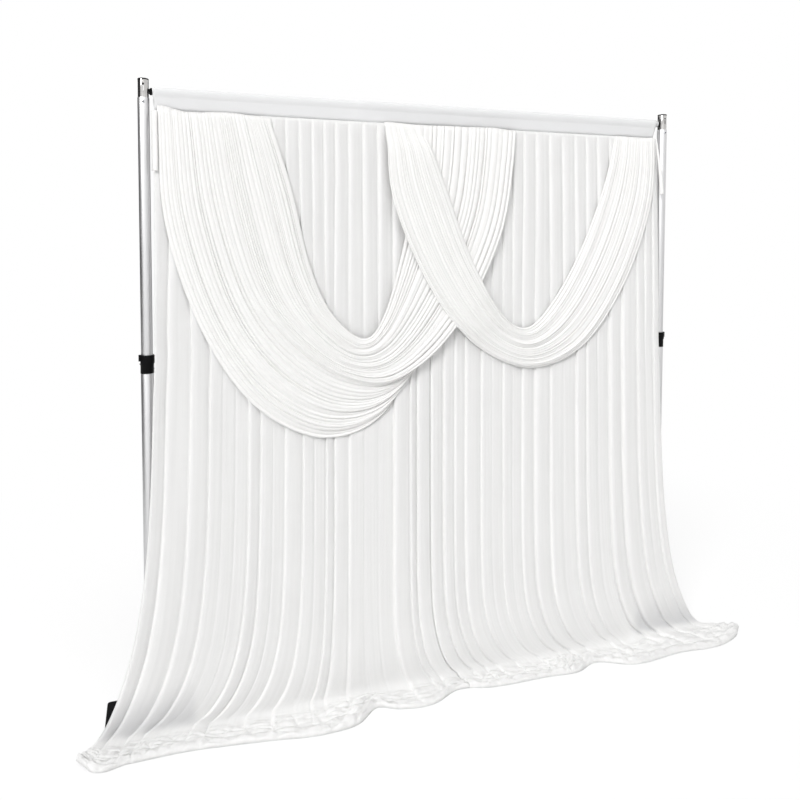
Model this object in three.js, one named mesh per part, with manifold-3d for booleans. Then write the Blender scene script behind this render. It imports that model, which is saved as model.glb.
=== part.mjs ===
// A pipe and drape backdrop: two telescopic uprights on flat steel bases, a telescopic
// crossbar that hooks into their crowns, and a white curtain with two swags hung on it.
// Millimetres, +Z up. X runs along the crossbar and the front of the curtain faces -Y.
// The origin is on the floor, in the middle of the ground that the whole object covers.

import * as THREE from 'three';
import { mergeVertices } from 'three/addons/utils/BufferGeometryUtils.js';
import Module from 'manifold-3d';

const wasm = await Module();
wasm.setup();

// Clearances
const seat_gap = 0.3; // between pieces that rest on or in each other
const running_gap = 0.4; // between pieces that slide or turn on each other
const cut_overrun = 3; // how far a cutter passes the faces that it cuts
const weld_distance = 0.0001; // points closer than this are one point

// The whole stand
const stand_height = 3050; // floor to the top of a crown's cap, uprights fully drawn out
const upright_spacing = 2880; // between the axes of the two uprights

// Base: a flat plate with a spigot that the lower tube stands over
const plate_side = 430;
const plate_thickness = 6;
const plate_corner_radius = 14;
const spigot_height = 150;
const spigot_wall = 4;
const spigot_web = 15;
const spigot_chamfer = 3;
const base_bolt_diameter = 12;
const base_bolt_head_diameter = 23;
const base_bolt_head_height = 5.4;
const base_bolt_socket_width = 8;
const base_bolt_socket_depth = 3;
const base_nut_height = 10;
const base_nut_width = 19;
const base_bolt_spare_thread = 4;

// Uprights
const lower_tube_diameter = 57;
const lower_tube_wall = 1.8;
const upper_tube_wall = 1.8;
const upper_tube_overlap = 250; // length of the upper tube inside the lower one
const foot_bush_wall = 4.5;
const foot_bush_plug = 25;
const foot_bush_flange = 6;

// Collar on top of the lower tube
const collar_top_height = 1777;
const collar_height = 85;
const collar_head_diameter = 67;
const collar_head_height = 36;
const collar_taper_height = 7;
const collar_rim_chamfer = 2.5;
const collar_lip_height = 4;
const collar_sleeve_wall = 1.5;
const collar_mouth_depth = 47; // from the collar's top down to the end of the lower tube
const collar_screw_drop = 66;
const collar_screw_diameter = 3.4;
const collar_screw_head_diameter = 7;
const collar_screw_head_height = 1.6;

// Lever on the collar's outer side
const lever_box_reach = 38; // from the tube's axis to the outer face of the lever's box
const lever_box_width = 23;
const lever_box_height = 28;
const lever_box_wall = 1.5;
const lever_box_roof = 4;
const lever_box_corner_radius = 2.5;
const finger_gap_height = 16; // cut into the collar's head under the lever's box
const lever_width = 9;
const lever_arm_thickness = 3.4;
const lever_hub_radius = 3.4;
const lever_pivot_reach = 31.8; // from the tube's axis to the pin
const lever_pivot_drop = 9; // from the collar's top down to the pin
const lever_pin_diameter = 3;
const lever_tip_reach = 34.3;
const lever_tip_drop = 40;
const lever_tip_height = 6;
const lever_tip_land = 1.5;
const lever_spring_space = 3.4; // room for the spring at each side of the lever
const lever_spring_room_height = 12;
const lever_spring_radius = 2.6;
const lever_spring_wire = 0.7;
const lever_spring_pitch = 1.1;

// Crown on top of the upper tube
const crown_exposed = 88; // from the end of the upper tube to the top of the cap
const crown_insert = 60;
const crown_wall = 2;
const crown_slot_width = 6.5;
const crown_slot_top_drop = 27; // from the top of the cap
const crown_slot_bottom_drop = 59;
const crown_keyhole_diameter = 9;
const cap_thickness = 3;
const cap_overhang = 0.5;
const cap_plug_depth = 12;
const cap_plug_wall = 2.5;
const crown_screw_drop = 20; // from the end of the upper tube
const crown_screw_diameter = 5;
const crown_screw_head_diameter = 12;
const crown_screw_head_height = 2;
const crown_screw_socket_width = 4;
const crown_screw_socket_depth = 1.3;
const crown_screw_tail = 2;

// Crossbar, hooks and what holds them
const bar_axis_drop = 55; // from the top of the stand to the crossbar's axis
const bar_outer_diameter = 38;
const bar_outer_wall = 2;
const bar_inner_wall = 1.8;
const bar_outer_length = 1800;
const bar_overlap = 300; // length of the inner tube inside the outer one
const bar_end_reach = 39.5; // from an upright's axis to the end of the crossbar's tube
const bar_ring_length = 12;
const hook_side_clearance = 1.2; // between the hook's plate and each side of its slot
const hook_top = 15; // above the crossbar's axis
const hook_bottom = 18; // below it
const hook_neck_top = 9;
const hook_lip_reach = 16; // from the upright's axis to the tip inside the crown
const hook_lip_depth = 10;
const hook_heel = 6;
const hook_tongue_length = 20;
const hook_tongue_height = 19;
const bar_plug_length = 22;
const hook_rivet_offset = 10; // from the end of the crossbar's tube
const hook_rivet_diameter = 5;
const hook_rivet_head_diameter = 8;
const hook_rivet_head_height = 1.5;

// Header sleeve of the curtain
const cloth_thickness = 2.5;
const header_end_reach = 56; // from an upright's axis to the end of the sleeve
const header_drop = 92; // from the crossbar's axis to the sleeve's lower edge
const header_front_depth = 34; // sleeve's lower edge in front of the crossbar's axis
const header_back_depth = 15; // and behind it

// Curtain
const curtain_side_reach = 60; // from an upright's axis to the curtain's side edge, at the top
const curtain_top_setback = 3;
const curtain_forward_lean = 110; // how far the fall comes forward between header and floor
const curtain_top_fold_depth = 8;
const curtain_bottom_fold_depth = 28;
const curtain_side_lean = 60;
const curtain_side_flare = 250;
const curtain_flare_height = 400;
const hem_left_reach = 320; // past the left upright's axis
const hem_right_reach = 443; // past the right upright's axis
const hem_depth = 312; // the furthest that the hem lies in front of the uprights
const hem_fold_height = 16;
const floor_bend_height = 60;
const hem_floor_lift = 1.8;
const plate_cover_lift = 4; // from a plate's top to the middle of the cloth that lies on it
const plate_cover_run = 95; // how far from the plate the cloth comes down to the floor
const panel_seam_gap = 1.5; // besides the cloth's own thickness
const panel_seam_place = -30; // from the middle between the uprights

// Swags, from the middle between the uprights
const swag_top_ripple = 3;
const swag_ripple = 13;
const swag_crown = 15;
const left_swag_start = -1370;
const left_swag_width = 1800;
const left_swag_drop = 1570;
const left_swag_top_depth = 16;
const left_swag_depth = 80;
const right_swag_start = -295;
const right_swag_width = 1585;
const right_swag_drop = 1280;
const right_swag_top_depth = 28;
const right_swag_depth = 104;

// Loose cloth ends at the two ends of the header
const tie_width = 28;
const tie_length = 320;
const tie_inset = 4;
const tie_front_depth = 29;
const tie_curl = 10;

// Counts of facets, folds and steps
const tube_facets = 24;
const small_facets = 10;
const spring_turns = 1.75;
const spring_steps = 18;
const panel_folds = 11;
const columns_per_fold = 4;
const swag_folds = 7;
const swag_columns_per_fold = 2;
const swag_steps = 18;
const tie_rows = 6;

// Sizes that follow from the ones above
const lower_tube_radius = lower_tube_diameter / 2;
const lower_bore_radius = lower_tube_radius - lower_tube_wall;
const upper_tube_radius = lower_bore_radius - running_gap;
const upper_bore_radius = upper_tube_radius - upper_tube_wall;
const lower_tube_bottom = plate_thickness + seat_gap;
const lower_tube_top = collar_top_height - collar_mouth_depth;
const upper_tube_bottom = lower_tube_top - upper_tube_overlap;
const upper_tube_top = stand_height - crown_exposed;
const crown_radius = upper_bore_radius - seat_gap;
const crown_bore_radius = crown_radius - crown_wall;
const crown_top = stand_height - cap_thickness - seat_gap;
const collar_sleeve_bore_radius = lower_tube_radius + seat_gap;
const collar_sleeve_radius = collar_sleeve_bore_radius + collar_sleeve_wall;
const bar_axis_height = stand_height - bar_axis_drop;
const bar_outer_radius = bar_outer_diameter / 2;
const bar_outer_bore_radius = bar_outer_radius - bar_outer_wall;
const bar_inner_radius = bar_outer_bore_radius - seat_gap;
const bar_inner_bore_radius = bar_inner_radius - bar_inner_wall;
const half_spacing = upright_spacing / 2;
const hook_thickness = crown_slot_width - hook_side_clearance * 2;

// Finishes
const finishes = {
  black_steel: { color: 0x141416, roughness: 0.55, metalness: 0.3 },
  zinc: { color: 0xb9bcc0, roughness: 0.35, metalness: 0.9 },
  satin_aluminium: { color: 0xc9cbcf, roughness: 0.32, metalness: 0.9 },
  chrome: { color: 0xd8dadd, roughness: 0.08, metalness: 1 },
  black_plastic: { color: 0x111112, roughness: 0.4, metalness: 0 },
  spring_steel: { color: 0x9fa3a8, roughness: 0.3, metalness: 0.9 },
  curtain_cloth: { color: 0xe9eaec, roughness: 0.9, metalness: 0 },
  swag_cloth: { color: 0xf2f0ed, roughness: 0.85, metalness: 0 },
};

// Geometry helpers

// Merges the points that lie together, drops flat triangles and turns the faces outwards.
function weld(geometry) {
  const bare = geometry.clone();
  for (const name of Object.keys(bare.attributes)) {
    if (name !== 'position') bare.deleteAttribute(name);
  }
  const merged = mergeVertices(bare, weld_distance);
  const place = merged.attributes.position;
  const index = merged.index.array;
  const kept = [];
  let volume = 0;
  const corners = [new THREE.Vector3(), new THREE.Vector3(), new THREE.Vector3()];
  for (let i = 0; i < index.length; i += 3) {
    const [a, b, c] = [index[i], index[i + 1], index[i + 2]];
    if (a === b || b === c || c === a) continue;
    [a, b, c].forEach((n, k) => corners[k].fromBufferAttribute(place, n));
    volume += corners[0].dot(corners[1].clone().cross(corners[2]));
    kept.push(a, b, c);
  }
  if (volume < 0) kept.reverse();
  merged.setIndex(kept);
  return merged;
}

function to_solid(geometry) {
  const welded = weld(geometry);
  const vertProperties = new Float32Array(welded.attributes.position.array);
  const triVerts = new Uint32Array(welded.index.array);
  return new wasm.Manifold(new wasm.Mesh({ numProp: 3, vertProperties, triVerts }));
}

function to_geometry(solid) {
  const mesh = solid.getMesh();
  const geometry = new THREE.BufferGeometry();
  geometry.setAttribute('position', new THREE.BufferAttribute(mesh.vertProperties, 3));
  geometry.setIndex(new THREE.BufferAttribute(mesh.triVerts, 1));
  return geometry;
}

function cut(body, ...cutters) {
  let solid = to_solid(body);
  for (const cutter of cutters) solid = solid.subtract(to_solid(cutter));
  return to_geometry(solid);
}

function join(...bodies) {
  let solid = to_solid(bodies[0]);
  for (const body of bodies.slice(1)) solid = solid.add(to_solid(body));
  return to_geometry(solid);
}

// A body of revolution round Z, from a list of [radius, height] pairs.
function revolve(profile, facets = tube_facets, closed = true) {
  const points = profile.map(([radius, height]) => new THREE.Vector2(radius, height));
  if (closed) points.push(points[0].clone());
  return new THREE.LatheGeometry(points, facets).rotateX(Math.PI / 2);
}

function tube(outer, bore, bottom, top, facets = tube_facets) {
  return revolve([[bore, bottom], [outer, bottom], [outer, top], [bore, top]], facets);
}

function rod(radius, bottom, top, facets = small_facets) {
  return revolve([[0, bottom], [radius, bottom], [radius, top], [0, top]], facets, false);
}

// Turns a body that was made along Z so that it lies along X or Y.
const along_x = (geometry) => geometry.rotateY(Math.PI / 2);
const along_y = (geometry) => geometry.rotateX(-Math.PI / 2);

function box(low, high) {
  const size = high.map((value, axis) => value - low[axis]);
  const middle = high.map((value, axis) => (value + low[axis]) / 2);
  return new THREE.BoxGeometry(...size).translate(...middle);
}

function outline(points) {
  return new THREE.Shape(points.map(([a, b]) => new THREE.Vector2(a, b)));
}

function rounded_rectangle(width, depth, radius) {
  const shape = new THREE.Shape();
  const [x, y] = [width / 2 - radius, depth / 2 - radius];
  shape.absarc(x, y, radius, 0, Math.PI / 2);
  shape.absarc(-x, y, radius, Math.PI / 2, Math.PI);
  shape.absarc(-x, -y, radius, Math.PI, Math.PI * 1.5);
  shape.absarc(x, -y, radius, Math.PI * 1.5, Math.PI * 2);
  return shape;
}

function extrude(shape, depth, curveSegments = 4) {
  return new THREE.ExtrudeGeometry(shape, { depth, bevelEnabled: false, steps: 1, curveSegments });
}

// A plate whose outline is drawn in X and Z, as thick as width, centred on Y.
function side_plate(shape, width, curveSegments = 4) {
  return extrude(shape, width, curveSegments).rotateX(Math.PI / 2).translate(0, width / 2, 0);
}

// A closed sheet of cloth. place(u, v) gives the middle of the cloth, u across and v down it.
function sheet(across, down, thickness, place) {
  const middle = down.map((v) => across.map((u) => place(u, v)));
  const rows = middle.length;
  const columns = middle[0].length;
  const positions = [];
  const half = thickness / 2;
  for (const side of [half, -half]) {
    for (let r = 0; r < rows; r += 1) {
      for (let c = 0; c < columns; c += 1) {
        const sideways = middle[r][Math.min(c + 1, columns - 1)].clone().sub(middle[r][Math.max(c - 1, 0)]);
        const downwards = middle[Math.min(r + 1, rows - 1)][c].clone().sub(middle[Math.max(r - 1, 0)][c]);
        const outwards = sideways.cross(downwards).normalize().multiplyScalar(side);
        positions.push(...middle[r][c].clone().add(outwards).toArray());
      }
    }
  }
  const back = rows * columns;
  const index = [];
  const quad = (a, b, c, d) => index.push(a, b, c, a, c, d);
  const at = (r, c) => r * columns + c;
  for (let r = 0; r + 1 < rows; r += 1) {
    for (let c = 0; c + 1 < columns; c += 1) {
      const [a, b, d, e] = [at(r, c), at(r, c + 1), at(r + 1, c + 1), at(r + 1, c)];
      quad(a, b, d, e);
      quad(back + a, back + e, back + d, back + b);
    }
  }
  for (let c = 0; c + 1 < columns; c += 1) {
    quad(at(0, c + 1), at(0, c), back + at(0, c), back + at(0, c + 1));
    quad(at(rows - 1, c), at(rows - 1, c + 1), back + at(rows - 1, c + 1), back + at(rows - 1, c));
  }
  for (let r = 0; r + 1 < rows; r += 1) {
    quad(at(r, 0), at(r + 1, 0), back + at(r + 1, 0), back + at(r, 0));
    quad(at(r + 1, columns - 1), at(r, columns - 1), back + at(r, columns - 1), back + at(r + 1, columns - 1));
  }
  const geometry = new THREE.BufferGeometry();
  geometry.setAttribute('position', new THREE.Float32BufferAttribute(positions, 3));
  geometry.setIndex(index);
  return geometry;
}

const steps_between = (count) => Array.from({ length: count + 1 }, (_, i) => i / count);

function named(name, geometry, finish) {
  const mesh = new THREE.Mesh(weld(geometry), new THREE.MeshStandardMaterial(finishes[finish]));
  mesh.name = name;
  return mesh;
}

// The pieces of one upright, drawn with the upright's axis on Z and its outer side at -X

function base_plate() {
  const shape = rounded_rectangle(plate_side, plate_side, plate_corner_radius);
  const head = base_bolt_head_diameter / 2 + seat_gap;
  const shank = base_bolt_diameter / 2 + seat_gap;
  const countersink = revolve([
    [0, -cut_overrun],
    [head, -cut_overrun],
    [head, seat_gap],
    [shank, base_bolt_head_height + seat_gap],
    [shank, plate_thickness + cut_overrun],
    [0, plate_thickness + cut_overrun],
  ], tube_facets, false);
  return cut(extrude(shape, plate_thickness), countersink);
}

function base_spigot() {
  const bottom = plate_thickness + seat_gap;
  const radius = lower_bore_radius - seat_gap;
  const bore = radius - spigot_wall;
  const hole = base_bolt_diameter / 2 + seat_gap;
  return revolve([
    [hole, bottom],
    [radius, bottom],
    [radius, bottom + spigot_height - spigot_chamfer],
    [radius - spigot_chamfer, bottom + spigot_height],
    [bore, bottom + spigot_height],
    [bore, bottom + spigot_web],
    [hole, bottom + spigot_web],
  ]);
}

const base_nut_bottom = plate_thickness + seat_gap + spigot_web + seat_gap;

function base_bolt() {
  const shank = base_bolt_diameter / 2;
  const top = base_nut_bottom + base_nut_height + base_bolt_spare_thread;
  const body = revolve([
    [0, seat_gap],
    [base_bolt_head_diameter / 2, seat_gap],
    [shank, base_bolt_head_height],
    [shank, top],
    [0, top],
  ], tube_facets, false);
  const socket_radius = base_bolt_socket_width / Math.sqrt(3);
  const socket_top = seat_gap + base_bolt_socket_depth;
  return cut(body, rod(socket_radius, -cut_overrun, socket_top, 6));
}

function base_nut() {
  const corner_radius = base_nut_width / Math.sqrt(3);
  const top = base_nut_bottom + base_nut_height;
  const hole = base_bolt_diameter / 2 + seat_gap;
  return cut(
    rod(corner_radius, base_nut_bottom, top, 6),
    rod(hole, base_nut_bottom - cut_overrun, top + cut_overrun, tube_facets),
  );
}

const collar_screw_height = collar_top_height - collar_screw_drop;

// The hole for the collar's screw, on the inner side of the upright.
function collar_screw_hole() {
  const radius = collar_screw_diameter / 2 + seat_gap;
  const hole = along_x(rod(radius, lower_bore_radius - cut_overrun, collar_sleeve_radius + cut_overrun));
  return hole.translate(0, 0, collar_screw_height);
}

function lower_tube() {
  const body = tube(lower_tube_radius, lower_bore_radius, lower_tube_bottom, lower_tube_top);
  return cut(body, collar_screw_hole());
}

const lever_pivot_x = -lever_pivot_reach;
const lever_pivot_height = collar_top_height - lever_pivot_drop;

function collar() {
  const top = collar_top_height;
  const head_radius = collar_head_diameter / 2;
  const head_bottom = top - collar_head_height;
  const mouth = upper_tube_radius + running_gap;
  const bottom = top - collar_height;
  const body = revolve([
    [collar_sleeve_bore_radius, bottom],
    [collar_sleeve_radius, bottom],
    [collar_sleeve_radius, head_bottom - collar_taper_height],
    [head_radius, head_bottom],
    [head_radius, top - collar_rim_chamfer],
    [head_radius - collar_rim_chamfer, top],
    [mouth, top],
    [mouth, top - collar_lip_height],
    [collar_sleeve_bore_radius, top - collar_lip_height],
  ]);
  const box_depth = lever_box_reach - collar_sleeve_bore_radius;
  const box_middle = -(lever_box_reach + collar_sleeve_bore_radius) / 2;
  const lever_box = extrude(
    rounded_rectangle(box_depth, lever_box_width, lever_box_corner_radius),
    lever_box_height,
    3,
  ).translate(box_middle, 0, top - lever_box_height);
  const slot_outer = -(lever_box_reach - lever_box_wall);
  const slot_inner = -(mouth - cut_overrun);
  const slot_bottom = lower_tube_top;
  const arm_half = lever_width / 2 + running_gap;
  const spring_half = lever_width / 2 + lever_spring_space;
  const roof = top - lever_box_roof;
  const arm_slot = box([slot_outer, -arm_half, slot_bottom], [slot_inner, arm_half, roof]);
  const room_bottom = roof - lever_spring_room_height;
  const room_inner = -(upper_tube_radius + running_gap);
  const spring_room = box([slot_outer, -spring_half, room_bottom], [room_inner, spring_half, roof]);
  const gap_top = top - lever_box_height;
  const finger_gap = box(
    [-lever_box_reach - cut_overrun, -head_radius, gap_top - finger_gap_height],
    [-collar_sleeve_radius, head_radius, gap_top],
  );
  const pin_half = lever_box_width / 2 + cut_overrun;
  const pin_hole = along_y(rod(lever_pin_diameter / 2 + seat_gap, -pin_half, pin_half));
  pin_hole.translate(lever_pivot_x, 0, lever_pivot_height);
  return cut(join(body, lever_box), finger_gap, arm_slot, spring_room, pin_hole, collar_screw_hole());
}

function collar_screw() {
  const seat = collar_sleeve_radius + seat_gap;
  const tip = lower_bore_radius + seat_gap;
  const shank = collar_screw_diameter / 2;
  const head = collar_screw_head_diameter / 2;
  const body = revolve([
    [0, tip],
    [shank, tip],
    [shank, seat],
    [head, seat],
    [head, seat + collar_screw_head_height / 2],
    [shank, seat + collar_screw_head_height],
    [0, seat + collar_screw_head_height],
  ], small_facets, false);
  return along_x(body).translate(0, 0, collar_screw_height);
}

function lever_pin() {
  const half = lever_box_width / 2 - seat_gap;
  const pin = along_y(rod(lever_pin_diameter / 2, -half, half));
  return pin.translate(lever_pivot_x, 0, lever_pivot_height);
}

// The lever hangs from its pin beside the upper tube and ends in a tip for a finger.
function release_lever() {
  const top = collar_top_height;
  const face = -(upper_tube_radius + running_gap);
  const back = face - lever_arm_thickness;
  const tip_top = top - lever_tip_drop;
  const shape = new THREE.Shape();
  shape.moveTo(face, tip_top - lever_tip_height);
  shape.lineTo(face, lever_pivot_height);
  shape.absarc(lever_pivot_x, lever_pivot_height, lever_hub_radius, 0, Math.PI);
  shape.lineTo(back - (lever_hub_radius - lever_arm_thickness / 2), lever_pivot_height - lever_hub_radius);
  shape.lineTo(back, lever_pivot_height - lever_hub_radius * 2);
  shape.lineTo(back, tip_top);
  shape.lineTo(-lever_tip_reach, tip_top - lever_tip_land / 2);
  shape.lineTo(-lever_tip_reach, tip_top - lever_tip_land);
  shape.lineTo(back, tip_top - lever_tip_height);
  const half = lever_width / 2 + cut_overrun;
  const hole = along_y(rod(lever_pin_diameter / 2 + running_gap, -half, half));
  hole.translate(lever_pivot_x, 0, lever_pivot_height);
  return cut(side_plate(shape, lever_width), hole);
}

// A wire coil on the pin, at the +Y side of the lever.
class Helix extends THREE.Curve {
  getPoint(t) {
    const angle = t * spring_turns * Math.PI * 2;
    return new THREE.Vector3(
      lever_spring_radius * Math.cos(angle),
      t * spring_turns * lever_spring_pitch,
      lever_spring_radius * Math.sin(angle),
    );
  }
}

function lever_spring() {
  const wire = new THREE.Shape().absarc(0, 0, lever_spring_wire / 2, 0, Math.PI * 2);
  const coil = new THREE.ExtrudeGeometry(wire, {
    steps: spring_steps,
    curveSegments: 3,
    bevelEnabled: false,
    extrudePath: new Helix(),
  });
  const start = lever_width / 2 + running_gap + lever_spring_wire / 2;
  return coil.translate(lever_pivot_x, start, lever_pivot_height);
}

// Crown screws pass through the upper tube and the crown, at the front and at the back.
const crown_screw_height = upper_tube_top - crown_screw_drop;

function crown_screw_hole() {
  const radius = crown_screw_diameter / 2 + seat_gap;
  const reach = upper_tube_radius + cut_overrun;
  return along_y(rod(radius, -reach, reach)).translate(0, 0, crown_screw_height);
}

function upper_tube() {
  const body = tube(upper_tube_radius, upper_bore_radius, upper_tube_bottom, upper_tube_top);
  return cut(body, crown_screw_hole());
}

function foot_bush() {
  const plug = upper_bore_radius - seat_gap;
  const bore = plug - foot_bush_wall;
  const seat = upper_tube_bottom - seat_gap;
  return revolve([
    [bore, seat - foot_bush_flange],
    [upper_tube_radius, seat - foot_bush_flange],
    [upper_tube_radius, seat],
    [plug, seat],
    [plug, seat + foot_bush_plug],
    [bore, seat + foot_bush_plug],
  ]);
}

// One keyhole through both walls along Y: a round entry over a narrow slot.
function keyhole_cutter() {
  const entry_radius = crown_keyhole_diameter / 2;
  const entry_height = stand_height - crown_slot_top_drop;
  const slot_radius = crown_slot_width / 2;
  const slot_bottom = stand_height - crown_slot_bottom_drop + slot_radius;
  const reach = crown_radius + cut_overrun;
  const entry = along_y(rod(entry_radius, -reach, reach, 16)).translate(0, 0, entry_height);
  const slot = new THREE.Shape();
  slot.moveTo(slot_radius, entry_height);
  slot.lineTo(-slot_radius, entry_height);
  slot.absarc(0, slot_bottom, slot_radius, Math.PI, Math.PI * 2);
  return join(entry, side_plate(slot, reach * 2));
}

function crown() {
  const body = tube(crown_radius, crown_bore_radius, upper_tube_top - crown_insert, crown_top);
  return cut(
    body,
    keyhole_cutter(),
    keyhole_cutter().rotateZ(Math.PI / 2),
    crown_screw_hole(),
  );
}

function crown_cap() {
  const rim = crown_radius + cap_overhang;
  const plug = crown_bore_radius - seat_gap;
  const under = stand_height - cap_thickness;
  return revolve([
    [0, under],
    [plug - cap_plug_wall, under],
    [plug - cap_plug_wall, under - cap_plug_depth],
    [plug, under - cap_plug_depth],
    [plug, under],
    [rim, under],
    [rim, stand_height - cap_overhang],
    [rim - cap_overhang, stand_height],
    [0, stand_height],
  ], tube_facets, false);
}

// facing is -1 for a screw that faces -Y and 1 for one that faces +Y.
function crown_screw(facing) {
  const seat = upper_tube_radius + seat_gap;
  const shank = crown_screw_diameter / 2;
  const head = crown_screw_head_diameter / 2;
  const head_top = seat + crown_screw_head_height;
  const tip = crown_bore_radius - crown_screw_tail;
  const body = revolve([
    [0, tip],
    [shank, tip],
    [shank, seat],
    [head, seat],
    [head, seat + crown_screw_head_height / 2],
    [head - crown_screw_head_height, head_top],
    [0, head_top],
  ], small_facets, false);
  const socket_radius = crown_screw_socket_width / Math.sqrt(3);
  const socket = rod(socket_radius, head_top - crown_screw_socket_depth, head_top + cut_overrun, 6);
  const screw = along_y(cut(body, socket));
  if (facing < 0) screw.rotateZ(Math.PI);
  return screw.translate(0, 0, crown_screw_height);
}

// The hook, its plug and its rivet sit at the inner side, on the crossbar's axis

function hook_rivet_hole(bar_radius) {
  const radius = hook_rivet_diameter / 2 + seat_gap;
  const reach = bar_radius + cut_overrun;
  const hole = along_y(rod(radius, -reach, reach));
  return hole.translate(bar_end_reach + hook_rivet_offset, 0, bar_axis_height);
}

function hook(bar_radius) {
  const z = bar_axis_height;
  const slot_radius = crown_slot_width / 2;
  const round_rise = slot_radius - Math.sqrt(slot_radius ** 2 - (hook_thickness / 2) ** 2);
  const notch = stand_height - crown_slot_bottom_drop + round_rise + seat_gap;
  const outside = crown_radius + seat_gap;
  const inside = crown_bore_radius - seat_gap;
  const shoulder = bar_end_reach - seat_gap;
  const tongue_end = bar_end_reach + hook_tongue_length;
  const tongue_half = hook_tongue_height / 2;
  const plate = side_plate(outline([
    [hook_lip_reach, z + hook_neck_top],
    [outside, z + hook_neck_top],
    [shoulder - hook_heel, z + hook_top],
    [shoulder, z + hook_top],
    [shoulder, z + tongue_half],
    [tongue_end, z + tongue_half],
    [tongue_end, z - tongue_half],
    [shoulder, z - tongue_half],
    [shoulder, z - hook_bottom],
    [outside + hook_heel, z - hook_bottom],
    [outside, z - hook_bottom + hook_heel],
    [outside, notch],
    [inside, notch],
    [inside, notch - hook_lip_depth],
    [hook_lip_reach, notch - hook_lip_depth / 2],
  ]), hook_thickness);
  return cut(plate, hook_rivet_hole(bar_radius));
}

function bar_plug(bar_bore_radius) {
  const start = bar_end_reach + seat_gap;
  const end = bar_end_reach + bar_plug_length;
  const body = along_x(rod(bar_bore_radius - seat_gap, start, end, tube_facets));
  body.translate(0, 0, bar_axis_height);
  const slit_half = hook_thickness / 2 + seat_gap;
  const slit_height = hook_tongue_height / 2 + seat_gap;
  const slit = box(
    [start - cut_overrun, -slit_half, bar_axis_height - slit_height],
    [end + cut_overrun, slit_half, bar_axis_height + slit_height],
  );
  return cut(body, slit, hook_rivet_hole(bar_bore_radius));
}

function hook_rivet(bar_radius) {
  const seat = bar_radius + seat_gap;
  const shank = hook_rivet_diameter / 2;
  const head = hook_rivet_head_diameter / 2;
  const end = seat + hook_rivet_head_height;
  const body = along_y(revolve([
    [0, -end],
    [shank, -end],
    [head, -seat],
    [shank, -seat],
    [shank, seat],
    [head, seat],
    [shank, end],
    [0, end],
  ], small_facets, false));
  return body.translate(bar_end_reach + hook_rivet_offset, 0, bar_axis_height);
}

// The right upright is the left one turned round, so its front faces +Y before the turn.
function upright(side, bar_radius, bar_bore_radius) {
  const front = side === 'left' ? -1 : 1;
  const group = new THREE.Group();
  group.add(
    named(`${side}_base_plate`, base_plate(), 'black_steel'),
    named(`${side}_base_spigot`, base_spigot(), 'zinc'),
    named(`${side}_base_bolt`, base_bolt(), 'zinc'),
    named(`${side}_base_nut`, base_nut(), 'zinc'),
    named(`${side}_lower_tube`, lower_tube(), 'satin_aluminium'),
    named(`${side}_collar`, collar(), 'black_plastic'),
    named(`${side}_collar_screw`, collar_screw(), 'zinc'),
    named(`${side}_lever_pin`, lever_pin(), 'spring_steel'),
    named(`${side}_lever_spring`, lever_spring(), 'spring_steel'),
    named(`${side}_release_lever`, release_lever(), 'black_plastic'),
    named(`${side}_upper_tube`, upper_tube(), 'satin_aluminium'),
    named(`${side}_foot_bush`, foot_bush(), 'black_plastic'),
    named(`${side}_crown`, crown(), 'chrome'),
    named(`${side}_crown_cap`, crown_cap(), 'black_plastic'),
    named(`${side}_crown_screw_front`, crown_screw(front), 'zinc'),
    named(`${side}_crown_screw_back`, crown_screw(-front), 'zinc'),
    named(`${side}_hook`, hook(bar_radius), 'black_steel'),
    named(`${side}_bar_plug`, bar_plug(bar_bore_radius), 'black_plastic'),
    named(`${side}_hook_rivet`, hook_rivet(bar_radius), 'zinc'),
  );
  return group;
}

// The crossbar: the inner tube hangs on the left upright, the outer tube on the right one

const bar_outer_start = half_spacing - bar_end_reach - bar_outer_length;
const bar_outer_end = half_spacing - bar_end_reach;
const rivet_place = half_spacing - bar_end_reach - hook_rivet_offset;

function bar_rivet_hole(bar_radius, x) {
  const reach = bar_radius + cut_overrun;
  const hole = along_y(rod(hook_rivet_diameter / 2 + seat_gap, -reach, reach));
  return hole.translate(x, 0, 0);
}

function crossbar_inner_tube() {
  const start = -half_spacing + bar_end_reach;
  const end = bar_outer_start + bar_overlap;
  const body = along_x(tube(bar_inner_radius, bar_inner_bore_radius, start, end));
  const pierced = cut(body, bar_rivet_hole(bar_inner_radius, -rivet_place));
  return pierced.translate(0, 0, bar_axis_height);
}

function crossbar_outer_tube() {
  const body = along_x(tube(bar_outer_radius, bar_outer_bore_radius, bar_outer_start, bar_outer_end));
  const pierced = cut(body, bar_rivet_hole(bar_outer_radius, rivet_place));
  return pierced.translate(0, 0, bar_axis_height);
}

function crossbar_guide_ring() {
  const end = bar_outer_start - seat_gap;
  const ring = tube(bar_outer_radius, bar_outer_bore_radius, end - bar_ring_length, end);
  return along_x(ring).translate(0, 0, bar_axis_height);
}

// The header: a flat sleeve, round over the crossbar and wider below it, open at both ends

function header_section(offset) {
  const radius = bar_outer_radius + seat_gap + cloth_thickness - offset;
  const front = header_front_depth - offset;
  const back = header_back_depth - offset;
  const bottom = -header_drop + offset;
  const path = new THREE.Path();
  path.moveTo(back, bottom);
  path.absarc(0, 0, radius, 0, Math.PI);
  path.lineTo(-front, bottom);
  path.lineTo(back, bottom);
  return path.getPoints(8);
}

function header_sleeve() {
  const start = -half_spacing + header_end_reach;
  const shape = new THREE.Shape(header_section(0));
  shape.holes.push(new THREE.Path(header_section(cloth_thickness)));
  const body = extrude(shape, upright_spacing - header_end_reach * 2);
  const turned = new THREE.Matrix4().makeBasis(
    new THREE.Vector3(0, 1, 0),
    new THREE.Vector3(0, 0, 1),
    new THREE.Vector3(1, 0, 0),
  );
  return body.applyMatrix4(turned).translate(start, 0, bar_axis_height);
}

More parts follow.
